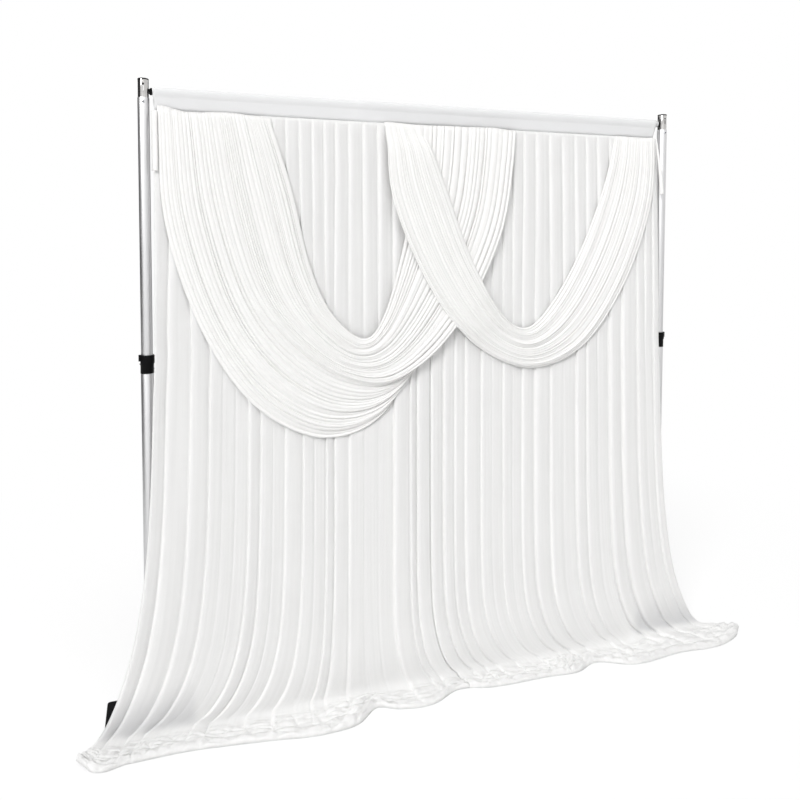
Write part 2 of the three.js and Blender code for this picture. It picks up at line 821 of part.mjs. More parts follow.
// The curtain: two panels with main folds that deepen downwards, come forward over the
// base plates and spread on the floor in a scalloped hem

const curtain_top = bar_axis_height - header_drop - seat_gap;
const curtain_half_width = half_spacing - curtain_side_reach;
const seam_share = (panel_seam_place / curtain_half_width + 1) / 2;

// How far the hem lies in front of the uprights along the curtain, as shares of hem_depth.
const hem_front_shares = new THREE.SplineCurve([
  [0, 0.42], [0.02, 0.7], [0.09, 0.72], [0.16, 0.73], [0.24, 0.92], [0.3, 1], [0.335, 0.84],
  [0.36, 0.62], [0.385, 0.82], [0.43, 0.85], [0.47, 0.66], [0.52, 0.76], [0.62, 0.8], [0.68, 0.83],
  [0.72, 0.7], [0.78, 0.93], [0.88, 0.9], [0.96, 0.92], [0.985, 0.8], [1, 0.66],
].map(([x, y]) => new THREE.Vector2(x, y)));

function hem_front_share(u) {
  let low = 0;
  let high = 1;
  for (let i = 0; i < 20; i += 1) {
    const middle = (low + high) / 2;
    if (hem_front_shares.getPoint(middle).x < u) low = middle;
    else high = middle;
  }
  return Math.min(hem_front_shares.getPoint(low).y, 1);
}

function smooth_share(value, low, high) {
  const share = Math.min(Math.max((value - low) / (high - low), 0), 1);
  return share * share * (3 - 2 * share);
}

// A row is a share of the fall, from 0 at the header to 1 at the floor, or past 1 a share
// of the cloth that lies on the floor, up to 2 at the hem.
const curtain_row_shares = [0, 0.1, 0.22, 0.36, 0.5, 0.64, 0.76, 0.87, 0.94, 1, 1.4, 2];

function curtain_place(u, row) {
  const fall = Math.min(row, 1);
  const floor = Math.max(row - 1, 0);
  const side = u * 2 - 1;
  const fan = side ** 3;
  const height = curtain_top + (floor_bend_height - curtain_top) * fall;
  const flare = curtain_side_lean * fall + curtain_side_flare * Math.exp(-height / curtain_flare_height);
  const tip = side < 0 ? hem_left_reach : hem_right_reach;
  const floor_spread = (tip + curtain_side_reach - curtain_side_lean - curtain_side_flare
    * Math.exp(-floor_bend_height / curtain_flare_height)) * floor;
  const x = curtain_half_width * side + (flare + floor_spread) * fan;

  const wander = 0.16 * Math.sin(u * 17) + 0.1 * Math.sin(u * 41);
  const wave = Math.cos((u * panel_folds * 2 + wander) * Math.PI * 2);
  const depth = curtain_top_fold_depth + (curtain_bottom_fold_depth - curtain_top_fold_depth) * fall;
  const hang = curtain_top_setback - curtain_forward_lean * fall ** 0.8 - depth * wave;
  const hem = -hem_depth * hem_front_share(u);
  const y = hang + (hem - hang) * floor;

  const over_plate = smooth_share(
    Math.abs(x),
    half_spacing - plate_side / 2 - plate_cover_run,
    half_spacing - plate_side / 2 - plate_cover_run / 4,
  );
  const lift = hem_floor_lift + (plate_thickness + plate_cover_lift - hem_floor_lift) * over_plate;
  const bump = hem_fold_height * (1 - floor) * (1 + wave);
  const lying = lift + bump;
  const z = row > 1 ? lying : height;
  return new THREE.Vector3(x, y, z);
}

function curtain_panel(from, to) {
  const across = steps_between(panel_folds * columns_per_fold).map((step) => from + (to - from) * step);
  return sheet(across, curtain_row_shares, cloth_thickness, curtain_place);
}

// A swag hangs in a U between two gathered ends. Its folds run along the U.

function swag(start, width, drop, top_depth, depth, inner_shares, outer_shares) {
  const curve = (shares) => new THREE.CatmullRomCurve3(
    shares.map(([across, down]) => new THREE.Vector3(start + width * across, down, 0)),
    false,
    'catmullrom',
    0.5,
  );
  const inner = curve(inner_shares);
  const outer = curve(outer_shares);
  const place = (v, u) => {
    const edge = inner.getPoint(u);
    const rim = outer.getPoint(u);
    const x = edge.x + (rim.x - edge.x) * v;
    const down = Math.max(edge.y + (rim.y - edge.y) * v, 0);
    const swell = Math.sin(Math.PI * u);
    const ripple = swag_top_ripple + (swag_ripple - swag_top_ripple) * swell;
    const crown_share = (1 - (v * 2 - 1) ** 2) * swell;
    const y = -top_depth - depth * down ** 0.75 - swag_crown * crown_share
      - ripple * Math.cos(v * swag_folds * Math.PI * 2);
    return new THREE.Vector3(x, y, curtain_top - drop * down);
  };
  const across = steps_between(swag_folds * swag_columns_per_fold);
  return sheet(across, steps_between(swag_steps), cloth_thickness, place);
}

// Edges of the swags, as shares of their width and drop, from the left end to the right.
const left_swag_inner_shares = [
  [0.28, 0], [0.34, 0.22], [0.39, 0.46], [0.45, 0.61], [0.54, 0.69], [0.6, 0.61], [0.655, 0.4],
  [0.69, 0.2], [0.706, 0],
];
const left_swag_outer_shares = [
  [0, 0], [0.012, 0.33], [0.1, 0.65], [0.24, 0.89], [0.424, 1], [0.62, 0.92], [0.82, 0.66],
  [0.95, 0.34], [1, 0],
];
const right_swag_inner_shares = [
  [0.123, 0], [0.2, 0.24], [0.3, 0.53], [0.41, 0.75], [0.514, 0.83], [0.61, 0.73], [0.71, 0.52],
  [0.8, 0.26], [0.849, 0],
];
const right_swag_outer_shares = [
  [0, 0], [0.03, 0.3], [0.15, 0.64], [0.31, 0.88], [0.527, 1], [0.74, 0.92], [0.9, 0.66],
  [0.985, 0.32], [1, 0],
];

function left_swag() {
  return swag(
    left_swag_start,
    left_swag_width,
    left_swag_drop,
    left_swag_top_depth,
    left_swag_depth,
    left_swag_inner_shares,
    left_swag_outer_shares,
  );
}

function right_swag() {
  return swag(
    right_swag_start,
    right_swag_width,
    right_swag_drop,
    right_swag_top_depth,
    right_swag_depth,
    right_swag_inner_shares,
    right_swag_outer_shares,
  );
}

// A loose end of cloth that hangs from the end of the header, in front of the curtain's edge.
function loose_end(side) {
  const inner = half_spacing - header_end_reach - tie_inset;
  const place = (u, v) => new THREE.Vector3(
    side * (inner + tie_width * u),
    -tie_front_depth - tie_curl * v * v - (tie_curl / 2) * u * v,
    curtain_top - tie_length * v,
  );
  return sheet(steps_between(2), steps_between(tie_rows), cloth_thickness, place);
}

// Assembly

const backdrop = new THREE.Group();
const left_upright = upright('left', bar_inner_radius, bar_inner_bore_radius);
left_upright.position.x = -half_spacing;
const right_upright = upright('right', bar_outer_radius, bar_outer_bore_radius);
right_upright.position.x = half_spacing;
right_upright.rotation.z = Math.PI;

const seam_half_share = (panel_seam_gap + cloth_thickness) / 2 / (curtain_half_width * 2);
const hung = new THREE.Group();
hung.add(
  named('crossbar_inner_tube', crossbar_inner_tube(), 'satin_aluminium'),
  named('crossbar_outer_tube', crossbar_outer_tube(), 'satin_aluminium'),
  named('crossbar_guide_ring', crossbar_guide_ring(), 'black_plastic'),
  named('header_sleeve', header_sleeve(), 'curtain_cloth'),
  named('left_curtain_panel', curtain_panel(0, seam_share - seam_half_share), 'curtain_cloth'),
  named('right_curtain_panel', curtain_panel(seam_share + seam_half_share, 1), 'curtain_cloth'),
  named('left_swag', left_swag(), 'swag_cloth'),
  named('right_swag', right_swag(), 'swag_cloth'),
  named('left_loose_end', loose_end(-1), 'swag_cloth'),
  named('right_loose_end', loose_end(1), 'swag_cloth'),
);

backdrop.add(left_upright, right_upright, hung);

// The whole object is moved so that its origin is the middle of its footprint on the floor.
const reach = new THREE.Box3().setFromObject(backdrop, true);
const footprint = reach.getCenter(new THREE.Vector3());
backdrop.position.set(-footprint.x, -footprint.y, -reach.min.z);

export default backdrop;
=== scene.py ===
# A pipe and drape backdrop: two telescopic uprights on steel base plates, a crossbar hooked
# into their crowns, and a white curtain with two swags hung on it.
# Metres, +Z up. X runs along the crossbar and the curtain's front faces -Y.

import math

import bpy
import numpy as np
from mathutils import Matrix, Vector


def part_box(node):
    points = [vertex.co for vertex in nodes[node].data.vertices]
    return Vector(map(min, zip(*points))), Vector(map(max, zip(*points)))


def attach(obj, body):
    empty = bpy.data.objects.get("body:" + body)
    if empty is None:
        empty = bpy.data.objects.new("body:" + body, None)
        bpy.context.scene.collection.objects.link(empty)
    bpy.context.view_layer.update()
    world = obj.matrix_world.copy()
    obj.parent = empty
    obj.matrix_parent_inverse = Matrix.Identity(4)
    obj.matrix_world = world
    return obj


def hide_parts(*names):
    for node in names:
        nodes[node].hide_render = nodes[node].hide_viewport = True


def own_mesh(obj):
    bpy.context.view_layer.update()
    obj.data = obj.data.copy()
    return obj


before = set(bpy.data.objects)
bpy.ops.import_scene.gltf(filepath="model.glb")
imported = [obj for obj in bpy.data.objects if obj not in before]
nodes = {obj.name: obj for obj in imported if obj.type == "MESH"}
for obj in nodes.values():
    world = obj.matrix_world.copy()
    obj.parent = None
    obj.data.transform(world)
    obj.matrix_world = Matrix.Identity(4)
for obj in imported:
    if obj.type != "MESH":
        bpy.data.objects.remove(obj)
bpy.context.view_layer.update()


# Camera
# It stands in front of the left upright at 2.3 m, turned towards the middle of the curtain.
# Its shift holds the frame of the photo, which was cut off-centre.

bpy.ops.object.select_all(action="DESELECT")
camera_turn = (math.radians(87.43), 0, math.radians(-16.95))
bpy.ops.object.camera_add(location=(-1.443, -3.205, 2.281), rotation=camera_turn)
camera = bpy.context.object
camera.name = "camera"
camera.data.sensor_width = 36
camera.data.lens = 30.04
camera.data.shift_x = 0.0471
camera.data.shift_y = -0.1542
bpy.context.scene.camera = camera
bpy.context.scene.view_settings.view_transform = "Standard"


# Studio
# A pale floor, a white background that only the camera and shiny surfaces see, and a soft sky.
# One wide lamp from the left models the folds. Weaker ones stand in front and above the header.


def new_material(name):
    """A material with one Principled shader, and its node tree."""
    made = bpy.data.materials.new(name)
    made.use_nodes = True
    return made, made.node_tree.nodes, made.node_tree.links


world = bpy.data.worlds.new("studio_sky")
bpy.context.scene.world = world
world.use_nodes = True
sky_nodes, sky_links = world.node_tree.nodes, world.node_tree.links
sky_nodes.clear()
sky_light = sky_nodes.new("ShaderNodeBackground")
sky_light.inputs["Color"].default_value = (1, 1, 1, 1)
sky_light.inputs["Strength"].default_value = 0.27
sky_seen = sky_nodes.new("ShaderNodeBackground")
sky_seen.inputs["Color"].default_value = (1, 1, 1, 1)
sky_seen.inputs["Strength"].default_value = 1
sky_path = sky_nodes.new("ShaderNodeLightPath")
sky_mix = sky_nodes.new("ShaderNodeMixShader")
sky_output = sky_nodes.new("ShaderNodeOutputWorld")
seen_white = sky_path.outputs["Is Camera Ray"]
for ray in ("Is Glossy Ray", "Is Transmission Ray"):
    either = sky_nodes.new("ShaderNodeMath")
    either.operation = "MAXIMUM"
    sky_links.new(seen_white, either.inputs[0])
    sky_links.new(sky_path.outputs[ray], either.inputs[1])
    seen_white = either.outputs[0]
sky_links.new(seen_white, sky_mix.inputs["Fac"])
sky_links.new(sky_light.outputs[0], sky_mix.inputs[1])
sky_links.new(sky_seen.outputs[0], sky_mix.inputs[2])
sky_links.new(sky_mix.outputs[0], sky_output.inputs["Surface"])

bpy.ops.mesh.primitive_circle_add(vertices=96, radius=30, fill_type="NGON")
floor = bpy.context.object
floor.name = "studio_floor"
floor_paint, floor_nodes, floor_links = new_material("studio_floor_paint")
floor_base = floor_nodes["Principled BSDF"]
floor_base.inputs["Base Color"].default_value = (0.97, 0.97, 0.97, 1)
floor_base.inputs["Roughness"].default_value = 0.9
floor_base.inputs["Specular IOR Level"].default_value = 0.1
floor_glow = floor_nodes.new("ShaderNodeEmission")
floor_glow.inputs["Color"].default_value = (1, 1, 1, 1)
floor_place = floor_nodes.new("ShaderNodeTexCoord")
floor_far = floor_nodes.new("ShaderNodeVectorMath")
floor_far.operation = "LENGTH"
floor_fade = floor_nodes.new("ShaderNodeMapRange")
floor_fade.interpolation_type = "SMOOTHSTEP"
floor_fade.inputs["From Min"].default_value = 1.6
floor_fade.inputs["From Max"].default_value = 4.5
floor_path = floor_nodes.new("ShaderNodeLightPath")
floor_shown = floor_nodes.new("ShaderNodeMath")
floor_shown.operation = "MULTIPLY"
floor_share = floor_nodes.new("ShaderNodeMapRange")
floor_share.inputs["To Min"].default_value = 0.75
floor_mix = floor_nodes.new("ShaderNodeMixShader")
floor_links.new(floor_place.outputs["Object"], floor_far.inputs[0])
floor_links.new(floor_far.outputs["Value"], floor_fade.inputs["Value"])
floor_links.new(floor_fade.outputs["Result"], floor_share.inputs["Value"])
floor_links.new(floor_share.outputs["Result"], floor_shown.inputs[0])
floor_links.new(floor_path.outputs["Is Camera Ray"], floor_shown.inputs[1])
floor_links.new(floor_shown.outputs[0], floor_mix.inputs["Fac"])
floor_links.new(floor_base.outputs[0], floor_mix.inputs[1])
floor_links.new(floor_glow.outputs[0], floor_mix.inputs[2])
floor_links.new(floor_mix.outputs[0], floor_nodes["Material Output"].inputs["Surface"])
floor.data.materials.append(floor_paint)


def soft_lamp(name, place, aim, size, power):
    """A square soft lamp at a place, turned to its aim."""
    bpy.ops.object.light_add(type="AREA", location=place)
    lamp = bpy.context.object
    lamp.name = name
    lamp.data.shape = "SQUARE"
    lamp.data.size = size
    lamp.data.energy = power
    lamp.rotation_euler = (Vector(aim) - Vector(place)).to_track_quat("-Z", "Y").to_euler()
    return lamp


soft_lamp("key_lamp", (-26, -24, 28.5), (0, 0, 1.5), 14, 13000)
soft_lamp("front_lamp", (3, -12.5, 26.5), (0, 0, 1), 12, 2750)
soft_lamp("top_lamp", (0, 3.5, 6.5), (0, 0, 2.9), 4, 100)

# Cards that only shiny surfaces see: two dark ones for the dark edges of the tubes and crowns,
# and a bright one in front for the streak down their middle.
card_paint, card_nodes, _ = new_material("dark_card")
card_nodes["Principled BSDF"].inputs["Base Color"].default_value = (0.06, 0.06, 0.062, 1)
card_nodes["Principled BSDF"].inputs["Roughness"].default_value = 1
bright_paint, bright_nodes, _ = new_material("bright_card")
bright_nodes["Principled BSDF"].inputs["Base Color"].default_value = (0, 0, 0, 1)
bright_nodes["Principled BSDF"].inputs["Emission Color"].default_value = (1, 1, 1, 1)
bright_nodes["Principled BSDF"].inputs["Emission Strength"].default_value = 1.35
cards = [
    ("left_card", (-6, 1.6, 2), (math.pi / 2, 0, math.pi / 2), (7.5, 9), card_paint),
    ("back_card", (0, 5.5, 2), (math.pi / 2, 0, 0), (14, 9), card_paint),
    ("front_card", (-2.6, -9, 2), (math.pi / 2, 0, 0), (8, 8), bright_paint),
]
for card_name, card_middle, card_turn, card_size, card_finish in cards:
    bpy.ops.mesh.primitive_plane_add(size=1, location=card_middle, rotation=card_turn)
    card = bpy.context.object
    card.name = card_name
    card.scale = (*card_size, 1)
    card.data.materials.append(card_finish)
    card.visible_camera = False
    card.visible_diffuse = False
    card.visible_transmission = False
    card.visible_shadow = False


# Black steel: the two base plates and the hooks
# Plates and hooks are cut from steel sheet and powder coated black, which leaves a fine
# pebbled skin that catches a soft light on the edges.


def noise_on(shaders, links, place, scale, stretch, detail=3):
    """A noise pattern on these coordinates, stretched along their axes."""
    stretched = shaders.new("ShaderNodeMapping")
    stretched.inputs["Scale"].default_value = stretch
    noise = shaders.new("ShaderNodeTexNoise")
    noise.inputs["Scale"].default_value = scale
    noise.inputs["Detail"].default_value = detail
    links.new(place, stretched.inputs["Vector"])
    links.new(stretched.outputs["Vector"], noise.inputs["Vector"])
    return noise.outputs["Fac"]


def grain(shaders, links, scale, stretch=(1, 1, 1)):
    """A noise pattern on the piece's own coordinates."""
    place = shaders.new("ShaderNodeTexCoord").outputs["Object"]
    return noise_on(shaders, links, place, scale, stretch)


def spread(shaders, links, source, low, high):
    """The pattern as numbers from low to high."""
    span = shaders.new("ShaderNodeMapRange")
    span.inputs["From Min"].default_value = 0.3
    span.inputs["From Max"].default_value = 0.7
    span.inputs["To Min"].default_value = low
    span.inputs["To Max"].default_value = high
    links.new(source, span.inputs["Value"])
    return span.outputs["Result"]


def two_tones(shaders, links, source, dark, light):
    """The pattern as a mix of two colours."""
    tones = shaders.new("ShaderNodeMix")
    tones.data_type = "RGBA"
    tones.inputs["A"].default_value = (*dark, 1)
    tones.inputs["B"].default_value = (*light, 1)
    links.new(spread(shaders, links, source, 0, 1), tones.inputs["Factor"])
    return tones.outputs["Result"]


def raised(shaders, links, source, depth):
    """The pattern as relief of that depth in metres."""
    bump = shaders.new("ShaderNodeBump")
    bump.inputs["Strength"].default_value = 1
    bump.inputs["Distance"].default_value = depth
    links.new(source, bump.inputs["Height"])
    return bump.outputs["Normal"]


cloudiness = 9


def worn_finish(name, dark, light, rough, metallic, scale, relief, stretch=(1, 1, 1)):
    """A finish with two close tones and a fine relief from one grain, and a cloudy gloss."""
    made, shaders, links = new_material(name)
    skin = shaders["Principled BSDF"]
    fine = grain(shaders, links, scale, stretch)
    cloudy = grain(shaders, links, cloudiness)
    links.new(two_tones(shaders, links, fine, dark, light), skin.inputs["Base Color"])
    links.new(spread(shaders, links, cloudy, *rough), skin.inputs["Roughness"])
    links.new(raised(shaders, links, fine, relief), skin.inputs["Normal"])
    skin.inputs["Metallic"].default_value = metallic
    return made


def both(*names):
    """The names of these pieces on the left and on the right."""
    return [f"{side}_{name}" for side in ("left", "right") for name in names]


def dress(names, finish):
    """These CAD nodes keep their shape and take the finish."""
    for name in names:
        node = nodes[name]
        node.data.materials.clear()
        node.data.materials.append(finish)


weld_distance = 0.00001


def rounded(piece, width, sharp):
    """A rounding of the piece's edges where its faces turn by more than this many degrees."""
    rounding = piece.modifiers.new("rounding", "BEVEL")
    rounding.width = width
    rounding.segments = 2
    rounding.limit_method = "ANGLE"
    rounding.angle_limit = math.radians(sharp)
    return rounding


def eased(names, width):
    """The edges of these CAD nodes are rounded."""
    for name in names:
        joined = nodes[name].modifiers.new("joined", "WELD")
        joined.merge_threshold = weld_distance
        rounded(nodes[name], width, 35)


powder_coat = worn_finish(
    name="black_powder_coat",
    dark=(0.004, 0.004, 0.0045),
    light=(0.012, 0.012, 0.0125),
    rough=(0.42, 0.55),
    metallic=0,
    scale=1400,
    relief=0.00008,
)
powder_coat.node_tree.nodes["Principled BSDF"].inputs["Specular IOR Level"].default_value = 0.06
plate_edge_radius = 0.0012
hook_edge_radius = 0.0006
dress(both("base_plate") + both("hook"), powder_coat)
eased(both("base_plate"), plate_edge_radius)
eased(both("hook"), hook_edge_radius)


# Aluminium tubes: lower and upper tubes of the uprights, and the two crossbar tubes
# Drawn tube with a satin anodised skin, which keeps faint draw lines along its length. The
# upper tubes slide out of the lower ones, and the ends are cut square and deburred.

drawn_along_z = (1, 1, 0.01)
drawn_along_x = (0.01, 1, 1)


def anodised(name, drawn):
    """Satin anodised aluminium with its draw lines along one axis."""
    return worn_finish(
        name,
        dark=(0.58, 0.58, 0.585),
        light=(0.66, 0.66, 0.665),
        rough=(0.4, 0.46),
        metallic=1,
        scale=900,
        relief=0.00001,
        stretch=drawn,
    )


tube_skin = anodised("satin_anodised_upright", drawn_along_z)
bar_skin = anodised("satin_anodised_bar", drawn_along_x)
dress(["crossbar_inner_tube", "crossbar_outer_tube"], bar_skin)


def turned(name, rings, place, facets=72, hollow=True):
    """A round piece, drawn out ring by ring through these radii and heights. A hollow one closes on
    its first ring, and a solid one keeps a face at each end."""
    radius, height = rings[0]
    bpy.ops.object.select_all(action="DESELECT")
    filled = "NOTHING" if hollow else "NGON"
    bpy.ops.mesh.primitive_circle_add(
        vertices=facets, radius=radius, fill_type=filled, location=(*place, height)
    )
    made = bpy.context.object
    made.name = made.data.name = name
    bpy.ops.object.transform_apply(location=True)
    bpy.ops.object.mode_set(mode="EDIT")
    bpy.ops.mesh.select_all(action="SELECT")
    for next_radius, next_height in rings[1:] + (rings[:1] if hollow else []):
        rise = (0, 0, next_height - height)
        bpy.ops.mesh.extrude_region_move(TRANSFORM_OT_translate={"value": rise})
        share = next_radius / radius
        bpy.ops.transform.resize(value=(share, share, 1), center_override=(*place, next_height))
        radius, height = next_radius, next_height
    bpy.ops.mesh.select_all(action="SELECT")
    bpy.ops.mesh.remove_doubles(threshold=weld_distance)
    bpy.ops.mesh.normals_make_consistent(inside=False)
    bpy.ops.object.mode_set(mode="OBJECT")
    return made


def fitted(made, width, finish, body, slot, *replaced):
    """The piece with its edges rounded, in its finish, in place of its CAD nodes."""
    bpy.context.view_layer.objects.active = made
    bpy.ops.object.modifier_apply(modifier=rounded(made, width, 30).name)
    bpy.ops.object.select_all(action="DESELECT")
    made.select_set(True)
    bpy.ops.object.shade_smooth_by_angle(angle=math.radians(30))
    made.data.materials.append(finish)
    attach(made, body)
    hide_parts(*replaced)


tube_wall = 0.0018
tube_edge_radius = 0.0004
upright_axes = {}
tube_radii = {}
for side in ("left", "right"):
    for part, body in (("lower", "stand"), ("upper", "mast")):
        low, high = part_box(f"{side}_{part}_tube")
        radius = (high.x - low.x) / 2
        axis_place = ((low.x + high.x) / 2, (low.y + high.y) / 2)
        upright_axes[side] = axis_place
        tube_radii[side, part] = radius
        inner = radius - tube_wall
        rings = [(inner, low.z), (radius, low.z), (radius, high.z), (inner, high.z)]
        piece = turned(f"{side}_{part}_pole", rings, axis_place)
        node_name = f"{side}_{part}_tube"
        fitted(piece, tube_edge_radius, tube_skin, f"{side}_{body}", "satin_aluminium", node_name)


# Collars and levers
# A collar of black nylon sits on each lower tube and guides the upper one. A box on its outer
# side holds the sprung lever, whose tip a finger pulls out through the gap under the box.

nylon = worn_finish(
    name="black_nylon",
    dark=(0.003, 0.003, 0.0034),
    light=(0.007, 0.007, 0.0074),
    rough=(0.28, 0.4),
    metallic=0,
    scale=700,
    relief=0.00004,
)
nylon.node_tree.nodes["Principled BSDF"].inputs["Specular IOR Level"].default_value = 0.05
moulded = both("release_lever", "foot_bush", "bar_plug") + ["crossbar_guide_ring"]
dress(moulded, nylon)
lever_edge_radius = 0.0005
eased(both("release_lever"), lever_edge_radius)


def block(low, high):
    """A plain block between two corners, for joining to a piece or cutting out of it."""
    middle = [(a + b) / 2 for a, b in zip(low, high)]
    bpy.ops.mesh.primitive_cube_add(size=1, location=middle)
    made = bpy.context.object
    made.scale = [abs(b - a) for a, b in zip(low, high)]
    bpy.ops.object.transform_apply(location=True, scale=True)
    return made


def combine(made, other, how):
    """Joins the other shape to the piece or cuts it out of the piece, and clears the other away."""
    bpy.context.view_layer.objects.active = made
    step = made.modifiers.new("step", "BOOLEAN")
    step.operation = how
    step.solver = "EXACT"
    step.object = other
    bpy.ops.object.modifier_apply(modifier=step.name)
    bpy.data.objects.remove(other)


collar_step = 0.0032
head_height = 0.036
taper_height = 0.007
lip_height = 0.004
rim_chamfer = 0.0025
bore_clearance = 0.0003
mouth_clearance = 0.0004
lever_box_half = 0.0115
lever_box_height = 0.028
lever_box_wall = 0.0015
lever_box_roof = 0.004
finger_gap_height = 0.016
finger_gap_overrun = 0.003
lever_slot_half = 0.005
collar_edge_radius = 0.0006

for side, outwards in (("left", -1), ("right", 1)):
    low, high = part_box(f"{side}_collar")
    tube_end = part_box(f"{side}_lower_tube")[1].z
    axis_x, axis_y = upright_axes[side]
    head = (high.y - low.y) / 2
    bore = tube_radii[side, "lower"] + bore_clearance
    mouth = tube_radii[side, "upper"] + mouth_clearance
    sleeve = head - collar_step
    top = high.z
    rings = [
        (bore, low.z),
        (sleeve, low.z),
        (sleeve, top - head_height - taper_height),
        (head, top - head_height),
        (head, top - rim_chamfer),
        (head - rim_chamfer, top),
        (mouth, top),
        (mouth, top - lip_height),
        (bore, top - lip_height),
    ]
    piece = turned(f"{side}_clamp_collar", rings, upright_axes[side])
    face = high.x if outwards > 0 else low.x
    inner_face = axis_x + outwards * (bore + 0.001)
    box_bottom = top - lever_box_height
    lever_box = block(
        (inner_face, axis_y - lever_box_half, box_bottom),
        (face, axis_y + lever_box_half, top),
    )
    combine(piece, lever_box, "UNION")
    gap_near = axis_x + outwards * sleeve
    gap_far = face + outwards * finger_gap_overrun
    finger_gap = block(
        (gap_near, axis_y - head - 0.001, box_bottom - finger_gap_height),
        (gap_far, axis_y + head + 0.001, box_bottom),
    )
    combine(piece, finger_gap, "DIFFERENCE")
    slot_near = axis_x + outwards * (mouth - 0.002)
    slot_far = face - outwards * lever_box_wall
    lever_slot = block(
        (slot_near, axis_y - lever_slot_half, tube_end),
        (slot_far, axis_y + lever_slot_half, top - lever_box_roof),
    )
    combine(piece, lever_slot, "DIFFERENCE")
    fitted(
        piece, collar_edge_radius, nylon, f"{side}_stand", "black_plastic", f"{side}_collar"
    )


# Crowns: the slotted heads of the uprights
# Steel tube with keyholes on four sides for the crossbars' hooks, chrome plated and polished.
# It is set in the upper tube.

chrome = worn_finish(
    name="chrome_plate",
    dark=(0.5, 0.49, 0.48),
    light=(0.58, 0.57, 0.56),
    rough=(0.08, 0.14),
    metallic=1,
    scale=60,
    relief=0.000005,
)
# A near-black painted shade for the insides of the hollow crowns and of the screw sockets.
hollow_shade_paint = worn_finish(
    name="hollow_shade_paint",
    dark=(0.012, 0.011, 0.01),
    light=(0.02, 0.018, 0.016),
    rough=(0.5, 0.6),
    metallic=0,
    scale=500,
    relief=0.00001,
)
crown_wall = 0.002
hollow_shade_inset = 0.0004
crown_edge_radius = 0.0003
cap_rim = 0.007
keyhole_radius = 0.0045
slot_half = 0.00245
keyhole_drop = 0.027
slot_drop = 0.059
cutter_reach = 0.04


def darkened(made, middle, axis, reach):
    """The faces that lie closer to this axis than reach take a near-black painted shade, for the
    dark inside of a hollow.
    """
    made.data.materials.append(hollow_shade_paint)
    for face in made.data.polygons:
        offset = face.center - Vector(middle)
        offset -= axis * offset.dot(axis)
        if offset.length < reach:
            face.material_index = 1


def cross_pin(radius, place, height, turn):
    """A round cutter that lies level through the piece, turned about the upright."""
    bpy.ops.mesh.primitive_cylinder_add(
        vertices=40,
        radius=radius,
        depth=cutter_reach * 2,
        location=(*place, height),
        rotation=(math.pi / 2, 0, turn),
    )
    return bpy.context.object


for side in ("left", "right"):
    low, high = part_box(f"{side}_crown")
    axis_x, axis_y = upright_axes[side]
    radius = (high.x - low.x) / 2
    stand_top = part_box(f"{side}_crown_cap")[1].z
    crown_end = stand_top - cap_rim
    inner = radius - crown_wall
    rings = [(inner, low.z), (radius, low.z), (radius, crown_end), (inner, crown_end)]
    piece = turned(f"{side}_slotted_crown", rings, upright_axes[side])
    keyhole_height = stand_top - keyhole_drop
    slot_end = stand_top - slot_drop + slot_half
    for turn in (0, math.pi / 2):
        keyhole = cross_pin(keyhole_radius, upright_axes[side], keyhole_height, turn)
        combine(piece, keyhole, "DIFFERENCE")
        round_end = cross_pin(slot_half, upright_axes[side], slot_end, turn)
        combine(piece, round_end, "DIFFERENCE")
    for half_x, half_y in ((slot_half, cutter_reach), (cutter_reach, slot_half)):
        slot_block = block(
            (axis_x - half_x, axis_y - half_y, slot_end),
            (axis_x + half_x, axis_y + half_y, keyhole_height),
        )
        combine(piece, slot_block, "DIFFERENCE")
    fitted(piece, crown_edge_radius, chrome, f"{side}_mast", "chrome", f"{side}_crown")
    # The inner wall of the crown and the cut walls of its slots take the painted shade.
    darkened(piece, (axis_x, axis_y, 0), Vector((0, 0, 1)), radius - hollow_shade_inset)


# Caps of the crowns
# Slightly domed caps, moulded in black nylon. Each has a plug below its rim that is pushed into
# the top of its crown.

plug_inset = 0.0032
cap_edge_radius = 0.0003
for side in ("left", "right"):
    low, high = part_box(f"{side}_crown_cap")
    rim = (high.x - low.x) / 2
    plug = rim - plug_inset
    shoulder = high.z - cap_rim
    rings = [
        (plug - 0.001, low.z),
        (plug, low.z + 0.001),
        (plug, shoulder),
        (rim, shoulder),
        (rim, high.z - 0.002),
        (rim - 0.0012, high.z - 0.0008),
        (rim - 0.004, high.z - 0.0002),
        (rim - 0.012, high.z),
    ]
    piece = turned(f"{side}_top_cap", rings, upright_axes[side], hollow=False)
    fitted(piece, cap_edge_radius, nylon, f"{side}_mast", "black_plastic", f"{side}_crown_cap")


# Zinc plated hardware: screws, spigots, bolts, nuts, pins, springs and rivets
# Small steel parts bought plated, bright grey with a slight cloudiness. The crown screws have
# button heads with a socket for a key.

zinc_plate = worn_finish(
    name="zinc_plate",
    dark=(0.5, 0.51, 0.53),
    light=(0.66, 0.67, 0.69),
    rough=(0.25, 0.4),
    metallic=1,
    scale=300,
    relief=0.00002,
)
plated = both("base_spigot", "base_bolt", "base_nut", "collar_screw")
plated += both("lever_pin", "lever_spring", "hook_rivet")
dress(plated, zinc_plate)

shank_radius = 0.0025
socket_radius = 0.0034
socket_rim_height = 0.0021
socket_floor_height = 0.0006
screw_edge_radius = 0.0001
seat_gap = 0.0002
# The button head from its seat up: radii, and heights over the seat.
button_steps = [(0.007, 0), (0.0068, 0.0008), (0.0062, 0.0015), (0.0052, 0.002), (0.004, 0.0023)]

